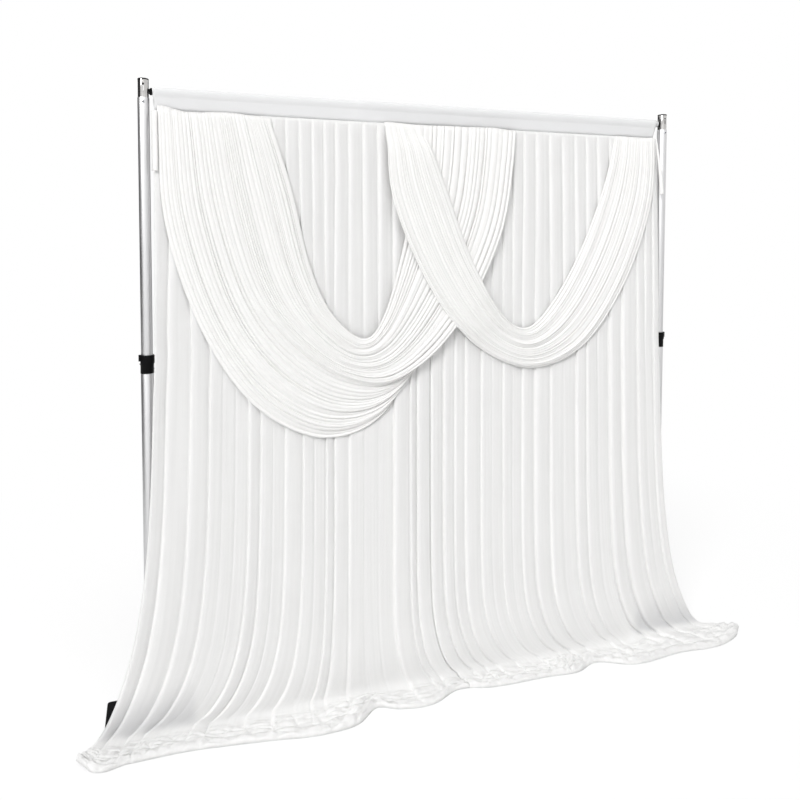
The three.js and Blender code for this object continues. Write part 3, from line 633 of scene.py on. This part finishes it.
for side in ("left", "right"):
    for where, facing in (("front", -1), ("back", 1)):
        node_name = f"{side}_crown_screw_{where}"
        low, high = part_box(node_name)
        middle_z = (low.z + high.z) / 2
        mast_low, mast_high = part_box(f"{side}_upper_tube")
        seat = (mast_high.y - mast_low.y) / 2 + seat_gap
        length = high.y - low.y
        rings = [(shank_radius, seat - length + 0.003), (shank_radius, seat)]
        rings += [(step_radius, seat + rise) for step_radius, rise in button_steps]
        rings += [(socket_radius, seat + socket_rim_height)]
        rings += [(socket_radius, seat + socket_floor_height)]
        piece = turned(f"{side}_button_screw_{where}", rings, (0, 0), facets=32, hollow=False)
        piece.rotation_euler = (-facing * math.pi / 2, 0, 0)
        piece.location = (*upright_axes[side], middle_z)
        bpy.ops.object.transform_apply(location=True, rotation=True)
        fitted(piece, screw_edge_radius, zinc_plate, f"{side}_mast", "zinc_steel", node_name)
        # The socket of the button head takes the painted shade of a deep recess.
        socket_reach = socket_radius + 0.0001
        darkened(piece, (*upright_axes[side], middle_z), Vector((0, 1, 0)), socket_reach)


# Curtain
# Two widths of fine white knitted cloth, gathered into pleats under the header. Some pleats
# run down to the floor as main folds, the others die out, and the long hem lies on the floor.

left_x, pole_y = upright_axes["left"]
right_x = upright_axes["right"][0]
middle_x = (left_x + right_x) / 2
half_spacing = (right_x - left_x) / 2
curtain_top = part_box("left_curtain_panel")[1].z
upright_clearance = 0.045
half_width = half_spacing - upright_clearance
seam_x = -0.03
panel_seam = (seam_x / half_width + 1) / 2
plate_low, plate_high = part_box("left_base_plate")
plate_front = pole_y - plate_low.y
plate_top = plate_high.z
plate_inner = middle_x - plate_high.x
collar_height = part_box("left_collar")[1].z - 0.03
cloth_thickness = 0.0008


def smooth(value, low, high):
    """0 below low, 1 above high and an even turn between them."""
    share = np.clip((value - low) / (high - low), 0, 1)
    return share * share * (3 - 2 * share)


def bump_at(value, middle, width):
    """A round bump, 1 high at the middle, that has almost faded at twice its width."""
    return np.exp(-(((value - middle) / width) ** 2))


def wander(value, seed, waves, size):
    """A smooth unevenness along value: a few slow waves with fixed phases."""
    dice = np.random.default_rng(seed)
    total = np.zeros_like(value)
    for step in range(1, 5):
        rate = waves * (0.6 + 0.5 * step) * (0.9 + 0.2 * dice.random())
        total = total + np.sin(value * rate * 2 * np.pi + dice.random() * 2 * np.pi) / step
    return total * size / 1.6


def smooth_curve(places, values, at):
    """A smooth curve through the points, read at these places."""
    places, values = np.array(places), np.array(values)
    slopes = np.gradient(values, places)
    spot = np.clip(np.searchsorted(places, at) - 1, 0, len(places) - 2)
    width = places[spot + 1] - places[spot]
    t = (at - places[spot]) / width
    start = (1 + 2 * t) * (1 - t) ** 2 * values[spot] + t * (1 - t) ** 2 * width * slopes[spot]
    end = t * t * (3 - 2 * t) * values[spot + 1] + t * t * (t - 1) * width * slopes[spot + 1]
    return start + end


def crumple(across, along, seed):
    """Crumples from 0 to 1: round bumps between the sharp valleys of a few crossing waves."""
    dice = np.random.default_rng(seed)
    lowest = np.ones_like(across)
    for turn in (0.35, -0.5, 1.2, -1.25):
        rate = dice.uniform(0.8, 1.3)
        wave = (across * np.sin(turn) + along * np.cos(turn)) * rate + dice.random()
        wave = wave + 0.35 * np.sin(across * 0.9 + along * 0.5 + turn * 5)
        lowest = np.minimum(lowest, np.abs(np.sin(wave * np.pi)))
    return lowest**0.6


# The main folds, as shares of the curtain's width.
main_creases = [0.02, 0.057, 0.088, 0.153, 0.173, 0.215, 0.246, 0.288, 0.303, 0.33, 0.415]
main_creases += [0.448, 0.461, panel_seam, 0.515, 0.538, 0.56, 0.594, 0.64, 0.682, 0.71, 0.745]
main_creases += [0.803, 0.827, 0.88, 0.91, 0.947, 0.985]
pleat_width = 0.025
pleat_depth = 0.012
main_fold_depth = 0.0122
main_crease_share = 0.62

low_places = []
runs_down = []
for start, end in zip([0] + main_creases, main_creases + [1]):
    parts = max(1, round((end - start) / pleat_width))
    for part in range(parts):
        low_places.append(start + (end - start) * part / parts)
        runs_down.append(part == 0)
low_places = np.array(low_places + [1])
runs_down = np.array(runs_down + [True])
folds = len(low_places) - 1
seam_fold = int(np.argmin(np.abs(low_places - panel_seam)))
top_places = low_places.copy()
for _ in range(3):
    between = (top_places[:-2] + top_places[2:]) / 2
    between[seam_fold - 1] = panel_seam
    top_places[1:-1] = (top_places[1:-1] + between) / 2

fold_dice = np.random.default_rng(7)
top_depths = pleat_depth * fold_dice.uniform(0.7, 1.3, folds + 1)
main_depths = main_fold_depth * fold_dice.uniform(0.5, 1.5, folds + 1)
main_ones = np.flatnonzero(runs_down)
low_valleys = np.zeros(folds + 1)
low_ridges = np.zeros(folds + 1)
for first, last in zip(main_ones[:-1], main_ones[1:]):
    low_valleys[first] = -main_crease_share * main_depths[first]
    low_ridges[first] = main_depths[first] / 2
    for dying in range(first + 1, last):
        main_width = low_places[last] - low_places[first]
        gone = (low_places[dying] - low_places[first]) / main_width
        level = main_depths[first] / 2 * (1 - gone) - main_depths[last] / 2 * gone
        low_valleys[dying] = level - 0.0005
        low_ridges[dying] = level + 0.0004

# Across one fold: where, how much of its own crease under the header and further down, how much
# of the next one, and how far it leans over the crease on its left.
fold_steps = [0, 0.03, 0.07, 0.12, 0.18, 0.25, 0.36, 0.5, 0.66, 0.82, 0.93]
fold_ends = fold_steps + [1]
own_crease = [1, 0.8, 0.5, 0.22, 0.05, 0, 0, 0, 0, 0, 0, 0]
low_own_crease = [1, 0.65, 0.26, 0.06, 0, 0, 0, 0, 0, 0, 0, 0]
next_crease = [0, 0, 0, 0, 0, 0.02, 0.08, 0.19, 0.35, 0.54, 0.78, 1]
leaning = [0, 0.3, 0.5, 0.5, 0.3, 0.1, 0, 0, 0, 0, 0, 0]

# How far out the hem lies in front, as a share of its furthest reach, across the curtain.
hem_front_places = [0, 0.02, 0.09, 0.16, 0.24, 0.3, 0.335, 0.36, 0.385, 0.43, 0.47, 0.52, 0.62]
hem_front_places += [0.68, 0.72, 0.78, 0.88, 0.96, 0.985, 1]
hem_front_depths = [0.5, 0.71, 0.745, 0.75, 0.88, 1, 0.93, 0.68, 0.8, 0.86, 0.66, 0.76, 0.8]
hem_front_depths += [0.83, 0.7, 0.93, 0.9, 0.9, 0.76, 0.58]
hem_front_reach = 0.312

# How far the folds sweep sideways just above the floor, from the middle seam outwards.
sweep_places = [0, 0.05, 0.1, 0.15, 0.22, 0.3, 0.345, 0.4, 0.46, 0.56, 0.64, 0.75, 0.88, 1]
sweep_widths = [0, -0.09, -0.17, -0.185, -0.155, -0.06, 0, 0.05, 0.11, 0.17, 0.19, 0.17, 0.09, 0]
sweep_height = 0.16

# The sides flare a little down the fall, more at the foot, and reach out to the hem's tips.
fall_flare = 0.045
foot_flare = 0.25
foot_flare_height = 0.4
left_tip_reach = 0.07
right_tip_reach = 0.22
collar_dent = 0.006

# How far the cloth hangs in front of the bar's axis, and comes forward down the fall and at
# the foot.
off_bar = 0.0096
fall_lean = 0.055
foot_lean = 0.0224

# The turn onto the floor, and the cloth that lies there.
floor_bend = 0.028
heap_places = [(0.335, 0.028), (0.675, 0.022)]
wide_crumple = 0.016
fine_crumple = 0.006
hem_roll = 0.012
seam_bulge = 0.004
tucked_up = 0.006


def fall_line(fall):
    """How far in front of the bar's axis the cloth hangs, at a share of the fall. It comes forward
    soon below the header, so that the swags clear it when the bar comes down, and again at the
    floor."""
    return -off_bar - fall_lean * fall**0.45 - foot_lean * smooth(fall, 0.87, 1)


def floor_ramp(value):
    """0 below 0 and the value itself above, with a round turn between them."""
    return floor_bend * np.log1p(np.exp(np.clip(value / floor_bend, -30, 30)))


def curtain_fold(index, part, fall, lower):
    """How far the curtain stands out at a part of one fold, and how far it leans sideways there."""
    own = np.interp(part, fold_ends, own_crease) * (1 - lower)
    own = own + np.interp(part, fold_ends, low_own_crease) * lower
    following = np.interp(part, fold_ends, next_crease)
    stiffness = 1 + wander(fall * 2 + index * 3.7, 3, 0.5, 0.22) * smooth(fall, 0, 0.15)
    stiffness = stiffness * (0.15 + 0.85 * smooth(fall, 0, 0.018))

    def level(top, low):
        return (top * (1 - lower) + low * lower) * stiffness

    crease = level(-top_depths[index] / 2, low_valleys[index])
    ridge = level(top_depths[index] / 2, low_ridges[index])
    crease_after = level(-top_depths[index + 1] / 2, low_valleys[index + 1])
    folded = own * crease + following * crease_after + (1 - own - following) * ridge
    lean = np.interp(part, fold_ends, leaning) * (ridge - crease)
    return folded, lean * (0.5 - 0.25 * lower)


def lying_height(u, lying):
    """How high the cloth on the floor is crumpled, heaped in two places and rolled at its hem."""
    heaped = sum(bump_at(u, place, width) for place, width in heap_places)
    crumples = crumple(u * 34, lying * 4, 21) * wide_crumple
    crumples = crumples + crumple(u * 80, lying * 9, 57) * fine_crumple
    crumples = crumples * (1 + heaped) * smooth(lying, 0.12 - 0.1 * heaped, 0.5)
    rolled = smooth(lying, 0.7, 0.88) * np.sqrt(np.clip((1 - lying) / 0.08, 0, 1))
    return (crumples + hem_roll * rolled) * (1 - smooth(lying, 0.97, 1))


def over_plates(x, y):
    """Whether a place is over a base plate: 1 over it, 0 beside it or in front of it."""
    beside = smooth(np.abs(x), plate_inner - 0.045, plate_inner - 0.005)
    return beside * (1 - smooth(-y, plate_front + 0.002, plate_front + 0.016))


def curtain_place(turn, row):
    """Where a point of the curtain is: turn counts the folds across both panels, row goes down the
    fall from 0 to 1 and then out over the floor to 2 at the hem."""
    index = np.clip(np.floor(turn + 1e-9).astype(int), 0, folds - 1)
    part = turn - index
    fall = np.clip(row, 0, 1)
    lying = np.clip(row - 1, 0, 1)
    height = curtain_top * (1 - row)
    lower = smooth(fall, 0.1, 0.5)
    folded, lean = curtain_fold(index, part, fall, lower)

    low_u = low_places[index] + (low_places[index + 1] - low_places[index]) * part
    top_u = top_places[index] + (top_places[index + 1] - top_places[index]) * part
    u = top_u + (low_u - top_u) * smooth(fall, 0, 0.4)
    side = u * 2 - 1

    hang = fall_line(fall)
    front = hem_front_reach * np.minimum(smooth_curve(hem_front_places, hem_front_depths, u), 1)
    reach = hang + front
    below = np.where(row > 1, -reach * lying, height)
    out = reach * floor_ramp(-below) / floor_ramp(reach)
    kept_up = np.where(height > 0.5, height, floor_ramp(below) - 0.004)

    above_floor = np.maximum(height, 0)
    flare = fall_flare * fall**1.3 + foot_flare * np.exp(-above_floor / foot_flare_height)
    flare = flare + np.where(side < 0, left_tip_reach, right_tip_reach) * lying
    flare = flare - collar_dent * bump_at(height, collar_height, 0.12)
    sweep = smooth_curve(sweep_places, sweep_widths, u) * np.exp(-above_floor / sweep_height)
    x = half_width * side + flare * side**3 + sweep * (1 + 0.2 * lying) - lean * (1 - lying)

    tilt = smooth(-below, -0.1, 0.07) * np.pi / 2
    thick = folded * (1 - smooth(lying, 0.2, 1))
    bulge = seam_bulge * (1 - smooth(fall, 0.003, 0.02))
    y = hang - bulge - out - thick * np.cos(tilt)
    stand_up = (thick + 0.012 * (1 - lying)) * np.sin(tilt) * 0.75
    lift = 0.0012 + (plate_top + 0.002) * over_plates(x, y) * (1 - smooth(height, 0, 0.1))
    ground = lift + np.maximum(stand_up, 0) + lying_height(u, lying)
    z = np.maximum(kept_up, 0) + ground * smooth(-height, -0.2, -0.02)
    z = np.where(row <= 0, curtain_top + tucked_up, np.minimum(z, curtain_top))
    return x + middle_x, y + pole_y, z


def plate_shade(x, y, z):
    """How much painted shade greys the cloth low down over the base plates, where the black plates
    would show through it.
    """
    out_x = np.abs(x - middle_x)
    inside = smooth(out_x, plate_inner - 0.01, plate_inner + 0.05)
    inside = inside * (1 - smooth(pole_y - y, 0.09, 0.112))
    return inside * (1 - smooth(z, 0, 0.26))


def distance_along(points):
    """The length along a row of points, from 0 to its end."""
    steps = np.linalg.norm(np.diff(points, axis=0), axis=1)
    return np.concatenate([[0], np.cumsum(steps)])


def hang_sheet(name, across, down, place, shade=None):
    """A sheet of cloth: a grid whose points go to their places. Its map holds the flat cloth in
    metres."""
    columns, rows = len(across) - 1, len(down) - 1
    bpy.ops.object.select_all(action="DESELECT")
    bpy.ops.mesh.primitive_grid_add(x_subdivisions=columns, y_subdivisions=rows, size=2)
    made = bpy.context.object
    made.name = made.data.name = name
    grid_u, grid_v = np.meshgrid(across, down)
    points = np.stack(place(grid_u, grid_v), axis=-1)
    made.data.vertices.foreach_set("co", points.ravel())
    corner = np.zeros(len(made.data.loops), int)
    made.data.loops.foreach_get("vertex_index", corner)
    middle_column = points[:, len(across) // 2]
    flat_u, flat_v = np.meshgrid(distance_along(points[0]), distance_along(middle_column))
    flat_map = np.stack([flat_u.ravel()[corner], flat_v.ravel()[corner]], axis=-1)
    made.data.uv_layers[0].data.foreach_set("uv", flat_map.ravel())
    if shade:
        painted = made.data.attributes.new("shade", "FLOAT", "POINT")
        painted.data.foreach_set("value", shade(*points.reshape(-1, 3).T))
    bpy.ops.object.mode_set(mode="EDIT")
    bpy.ops.mesh.select_all(action="SELECT")
    bpy.ops.mesh.flip_normals()
    bpy.ops.object.mode_set(mode="OBJECT")
    shell = made.modifiers.new("cloth", "SOLIDIFY")
    shell.thickness = cloth_thickness
    shell.offset = 0
    bpy.ops.object.modifier_apply(modifier=shell.name)
    bpy.ops.object.shade_smooth()
    return made


stitches_per_metre = (900, 1100)
light_through = 0.06


def cloth_finish(name, dark, light, rib_rate, rib_run, relief_depth):
    """Fine knitted cloth: close ribs along its length, slubs and a soft sheen. A painted shade,
    where there is one, darkens it."""
    made, shaders, links = new_material(name)
    skin = shaders["Principled BSDF"]
    place = shaders.new("ShaderNodeUVMap").outputs["UV"]
    ribs = noise_on(shaders, links, place, 1, (rib_rate, rib_run, 1))
    knit = noise_on(shaders, links, place, 1, (*stitches_per_metre, 1), detail=1)
    painted = shaders.new("ShaderNodeAttribute")
    painted.attribute_name = "shade"
    plate_shade_tint = shaders.new("ShaderNodeMix")
    plate_shade_tint.data_type = "RGBA"
    # A grey painted shade that stands for the black plates seen through the thin cloth.
    plate_shade_tint.inputs["B"].default_value = (0.7, 0.7, 0.706, 1)
    links.new(painted.outputs["Fac"], plate_shade_tint.inputs["Factor"])
    links.new(two_tones(shaders, links, ribs, dark, light), plate_shade_tint.inputs["A"])
    links.new(plate_shade_tint.outputs["Result"], skin.inputs["Base Color"])
    relief = shaders.new("ShaderNodeMath")
    relief.operation = "ADD"
    links.new(ribs, relief.inputs[0])
    links.new(knit, relief.inputs[1])
    links.new(raised(shaders, links, relief.outputs[0], relief_depth), skin.inputs["Normal"])
    skin.inputs["Roughness"].default_value = 0.8
    skin.inputs["Specular IOR Level"].default_value = 0.25
    skin.inputs["Sheen Weight"].default_value = 0.25
    skin.inputs["Sheen Roughness"].default_value = 0.5
    through = shaders.new("ShaderNodeBsdfTranslucent")
    through.inputs["Color"].default_value = (*light, 1)
    both = shaders.new("ShaderNodeMixShader")
    both.inputs["Fac"].default_value = light_through
    links.new(skin.outputs[0], both.inputs[1])
    links.new(through.outputs[0], both.inputs[2])
    links.new(both.outputs[0], shaders["Material Output"].inputs["Surface"])
    return made


curtain_cloth = cloth_finish(
    name="white_knit_curtain",
    dark=(0.87, 0.867, 0.86),
    light=(0.92, 0.917, 0.91),
    rib_rate=70,
    rib_run=1,
    relief_depth=0.0018,
)
seam_rows = [0, 0.003, 0.009]
fall_rows = np.linspace(0.018, 0.85, 51)[:-1]
foot_rows = np.linspace(0.85, 1, 26)[:-1]
floor_rows = np.linspace(1, 2, 48)
curtain_rows = np.concatenate([seam_rows, fall_rows, foot_rows, floor_rows])
every_step = np.concatenate([index + np.array(fold_steps) for index in range(folds)])
left_steps = np.append(every_step[every_step < seam_fold], seam_fold - 0.01)
right_steps = np.append(every_step[every_step >= seam_fold], folds)
for side, steps in (("left", left_steps), ("right", right_steps)):
    panel = hang_sheet(f"{side}_curtain", steps, curtain_rows, curtain_place, plate_shade)
    panel.data.materials.append(curtain_cloth)
    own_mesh(panel)
    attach(panel, "left_stand")
    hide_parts(f"{side}_curtain_panel")


# Swags
# Each is a width of the same cloth in warm white, gathered at both ends under the header and
# hung in a deep U, so that its many small folds run along it.

swag_cloth = cloth_finish(
    name="white_knit_swag",
    dark=(0.885, 0.878, 0.866),
    light=(0.93, 0.925, 0.914),
    rib_rate=150,
    rib_run=0.5,
    relief_depth=0.0012,
)

# Lines along the swags as x and z, from one end under the header to the other: the edges of each
# and, for the left one, the line where it doubles back.
left_swag_inner = [(-0.866, 2.903), (-0.76, 2.558), (-0.669, 2.181), (-0.56, 1.945), (-0.398, 1.82)]
left_swag_inner += [(-0.29, 1.945), (-0.192, 2.276), (-0.13, 2.59), (-0.099, 2.903)]
left_swag_middle = [(-1.13, 2.903), (-1.062, 2.471), (-0.941, 2.07), (-0.76, 1.82), (-0.499, 1.639)]
left_swag_middle += [(-0.219, 1.614), (0.1, 1.86), (0.369, 2.351), (0.467, 2.903)]
left_swag_outer = [(-1.381, 2.903), (-1.352, 2.386), (-1.19, 1.88), (-0.937, 1.505)]
left_swag_outer += [(-0.605, 1.332), (-0.288, 1.439), (-0.06, 1.86), (0.099, 2.351), (0.2, 2.903)]
right_swag_inner = [(-0.082, 2.903), (0.036, 2.597), (0.18, 2.226), (0.355, 1.943), (0.52, 1.841)]
right_swag_inner += [(0.68, 1.969), (0.854, 2.238), (1.001, 2.571), (1.1, 2.903)]
right_swag_outer = [(-0.28, 2.903), (-0.249, 2.52), (-0.058, 2.084), (0.196, 1.777), (0.541, 1.622)]
right_swag_outer += [(0.879, 1.725), (1.149, 2.058), (1.328, 2.494), (1.37, 2.903)]

# Across one fold: where, and how much of its own crease and of the next one.
swag_fold_steps = [0, 0.1, 0.22, 0.4, 0.6, 0.78, 0.9]
swag_fold_ends = swag_fold_steps + [1]
swag_own_crease = [1, 0.45, 0.1, 0, 0, 0, 0, 0]
swag_next_crease = [0, 0, 0, 0, 0, 0.1, 0.45, 1]

# How far a swag lies in front of the curtain: at its end, below it and down the fall.
swag_off_header = 0.012
swag_off_curtain = 0.007
swag_off_below = 0.005
swag_nearest = 0.0075
swag_rise = 0.026
swag_crown = 0.01
edge_curl = 0.005
band_gap = 0.01
end_relief = 0.165
middle_relief = 0.11


def along(points, u):
    """A smooth line through the points, read along it from 0 to 1."""
    steps = np.linspace(0, 1, len(points))
    return [smooth_curve(steps, [point[axis] for point in points], u) for axis in (0, 1)]


def uneven_edges(dice, count):
    """Edges of the folds across a swag, from 0 to 1, at uneven distances."""
    widths = dice.uniform(0.4, 1.6, count)
    return np.concatenate([[0], np.cumsum(widths)]) / widths.sum()


def swag_place(lines, count, seed, under=None):
    """The function that places a point of a swag: turn counts the folds across it, u goes along
    it. The lines are its edges and, between them, any line where it doubles back behind itself.
    It lies on the curtain, and rises where it passes the edge of a swag under it."""
    dice = np.random.default_rng(seed)
    first_edges = uneven_edges(dice, count)
    last_edges = uneven_edges(dice, count)
    creases = 0.15 + 2 * dice.random((count + 1, 6)) ** 3
    crowns = dice.uniform(0.2, 0.7, (count + 1, 6))
    lowest = min(line_point[1] for line in lines for line_point in line)

    def place(turn, u):
        index = np.clip(np.floor(turn + 1e-9).astype(int), 0, count - 1)
        part = turn - index
        shifted = smooth(u, 0.15, 0.85)
        edges = [
            first_edges[index + end] * (1 - shifted) + last_edges[index + end] * shifted
            for end in (0, 1)
        ]
        v = edges[0] + (edges[1] - edges[0]) * part
        v = v + wander(u + v * 0.3, seed, 0.7, 0.006) * np.sin(np.pi * v)
        bands = len(lines) - 1
        x = z = band_width = 0
        for band in range(bands):
            share = np.clip(v * bands - band, 0, 1)
            held = (v * bands >= band) & ((v * bands < band + 1) | (band == bands - 1))
            from_x, from_z = along(lines[band], u)
            to_x, to_z = along(lines[band + 1], u)
            x = np.where(held, from_x + (to_x - from_x) * share, x)
            z = np.where(held, from_z + (to_z - from_z) * share, z)
            band_width = np.where(held, np.hypot(to_x - from_x, to_z - from_z), band_width)
        z = np.minimum(z, curtain_top)
        down = np.clip((curtain_top - z) / (curtain_top - lowest), 0, 1)
        swell = np.sin(np.pi * u)
        station = np.clip(u, 0, 0.9999) * 5
        before = station.astype(int)
        passed = smooth(station - before, 0, 1)

        def varied(depths, which):
            return depths[which, before] * (1 - passed) + depths[which, before + 1] * passed

        own = np.interp(part, swag_fold_ends, swag_own_crease) * varied(creases, index)
        following = np.interp(part, swag_fold_ends, swag_next_crease)
        following = following * varied(creases, index + 1)
        thin = np.sin(np.pi * part) * varied(crowns, index) - own - following
        fold_width = bands * band_width / count
        broad = wander(v * 3.5 * bands + u * 0.8, seed + 5, 1, 1)
        ripple = (end_relief + middle_relief * swell) * fold_width * thin
        ripple = ripple + (0.0015 + 0.003 * swell) * broad
        crown = (1 - (v * 2 - 1) ** 2) * swell
        curled = edge_curl * smooth(np.abs(v * 2 - 1), 0.8, 1)
        doubled = 0
        if bands > 1:
            doubled = smooth(u, 0.42, 0.6) * smooth(v, 0.5, 0.56)
            doubled = doubled - smooth(u, 0.2, 0.45) * (1 - smooth(v, 0.495, 0.505))
        fall = np.clip(1 - z / curtain_top, 0, 1)
        cloth_face = fall_line(fall)
        off_curtain = swag_off_curtain * smooth(fall, 0, 0.05) + swag_off_below * fall
        resting = cloth_face - swag_off_header - off_curtain
        if under:
            edge = np.interp(z, [point[1] for point in under], [point[0] for point in under])
            over = (1 - smooth(x - edge, 0, 0.4)) * smooth(curtain_top - z, 0, 0.15)
            resting = resting - swag_rise * over
        y = resting - swag_crown * crown - ripple + curled + band_gap * doubled
        y = np.minimum(y, cloth_face - swag_nearest)
        lapped = tucked_up + wander(x * 2, seed + 9, 1, 0.005) + 0.02 * bump_at(x, -1.37, 0.08)
        z = z + lapped * (1 - smooth(down, 0, 0.05))
        return x + middle_x, y + pole_y, z

    return place


swag_rows = np.linspace(0, 1, 130)
left_folds = 38
right_folds = 20
left_lines = [left_swag_inner, left_swag_middle, left_swag_outer]
right_lines = [right_swag_inner, right_swag_outer]
left_place = swag_place(left_lines, left_folds, seed=31)
right_place = swag_place(right_lines, right_folds, seed=41, under=left_swag_middle[5:])
swags = [
    ("left", left_place, left_folds, (0.8, 3.3)),
    ("right", right_place, right_folds, (0.55, 2.6)),
]
for side, place, count, flat in swags:
    every_step = [index + np.array(swag_fold_steps) for index in range(count)]
    steps = np.concatenate(every_step + [[count]])
    swag = hang_sheet(f"{side}_swag_cloth", steps, swag_rows, place)
    swag.data.materials.append(swag_cloth)
    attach(swag, "left_mast")
    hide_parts(f"{side}_swag")


# Header
# A band of closer woven white cloth that is sewn into a pocket over the crossbar, with the
# curtain and the swags stitched to its lower edge.

header_low, header_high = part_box("header_sleeve")
bar_low, bar_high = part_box("crossbar_outer_tube")
bar_height = (bar_low.z + bar_high.z) / 2
thin_bar_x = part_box("crossbar_guide_ring")[0].x
header_drop = 0.092
pocket_radius = 0.0215
thin_bar_step = 0.0022

# The band seen from the bar's end, as y and z from its axis: up the back, over and down in front.
header_path = [(0.0135, -header_drop), (0.014, -0.06), (0.016, -0.035), (0.02, -0.014)]
for turn in range(0, 181, 15):
    swing = math.radians(turn)
    header_path.append((pocket_radius * math.cos(swing), pocket_radius * math.sin(swing)))
header_path += [(-0.0205, -0.01), (-0.0185, -0.02), (-0.016, -0.026), (-0.0155, -0.03)]
header_path += [(-0.0145, -0.045), (-0.0125, -0.07), (-0.0115, -header_drop)]
header_lengths = distance_along(np.array(header_path))


def header_place(across, along_path):
    """Where a point of the header is: across from 0 to 1 along the bar, and its way over it."""
    y = np.interp(along_path, header_lengths, [point[0] for point in header_path])
    z = np.interp(along_path, header_lengths, [point[1] for point in header_path])
    drop = np.clip(-z / header_drop, 0, 1)
    start = header_low.x - 0.017 + 0.012 * drop + 0.003 * np.sin(np.pi * 5 * drop)
    end = header_high.x - 0.022 * drop**1.5
    x = start + (end - start) * across
    on_thin_bar = 1 - smooth(x, thin_bar_x - 0.006, thin_bar_x + 0.006)
    narrower = thin_bar_step * on_thin_bar * (1 - drop)
    length = np.sqrt(y * y + z * z)
    y = y * (1 - narrower / length)
    z = z * (1 - narrower / length)
    sway = wander(across * 5, 61, 1, 0.0016) * drop
    return x, y + pole_y + sway, z + bar_height + wander(across * 9, 62, 1, 0.0012) * drop


header_cloth = cloth_finish(
    name="white_woven_header",
    dark=(0.775, 0.777, 0.781),
    light=(0.785, 0.787, 0.791),
    rib_rate=700,
    rib_run=90,
    relief_depth=0.0002,
)
header = hang_sheet("header", np.linspace(0, 1, 281), header_lengths, header_place)
header.data.materials.append(header_cloth)
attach(header, "left_mast")
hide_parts("header_sleeve")


# Loose ends
# A strip of the swags' cloth is left hanging from each end of the header. The right one shows
# nearly edge on at its top and widens downwards.

left_end_length = 0.275
right_end_length = 0.318
for side in ("left", "right"):
    tie_low, tie_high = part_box(f"{side}_loose_end")

    def tie_place(across, row):
        """Where a point of a loose end is: across from 0 to 1, row from 0 at its top to 1."""
        if side == "left":
            width = tie_high.x - tie_low.x
            start_x = tie_low.x
            length = left_end_length
            off_curtain = 0.0155
        else:
            width = 0.008 + 0.022 * row
            start_x = tie_low.x - 0.0134 + 0.02 * row
            length = right_end_length
            off_curtain = 0.024
        x = start_x + width * across + wander(row, 71, 1, 0.0012)
        z = tie_high.z - length * row
        resting = pole_y + fall_line(1 - z / curtain_top) - off_curtain
        folded = 0.0035 * np.sin(across * 2 * np.pi) * (0.4 + 0.6 * row)
        return x, resting + folded + wander(row, 72, 0.8, 0.0015), z

    tie = hang_sheet(f"{side}_tie", np.linspace(0, 1, 17), np.linspace(0, 1, 60), tie_place)
    tie.data.materials.append(swag_cloth)
    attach(tie, "left_mast")
    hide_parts(f"{side}_loose_end")
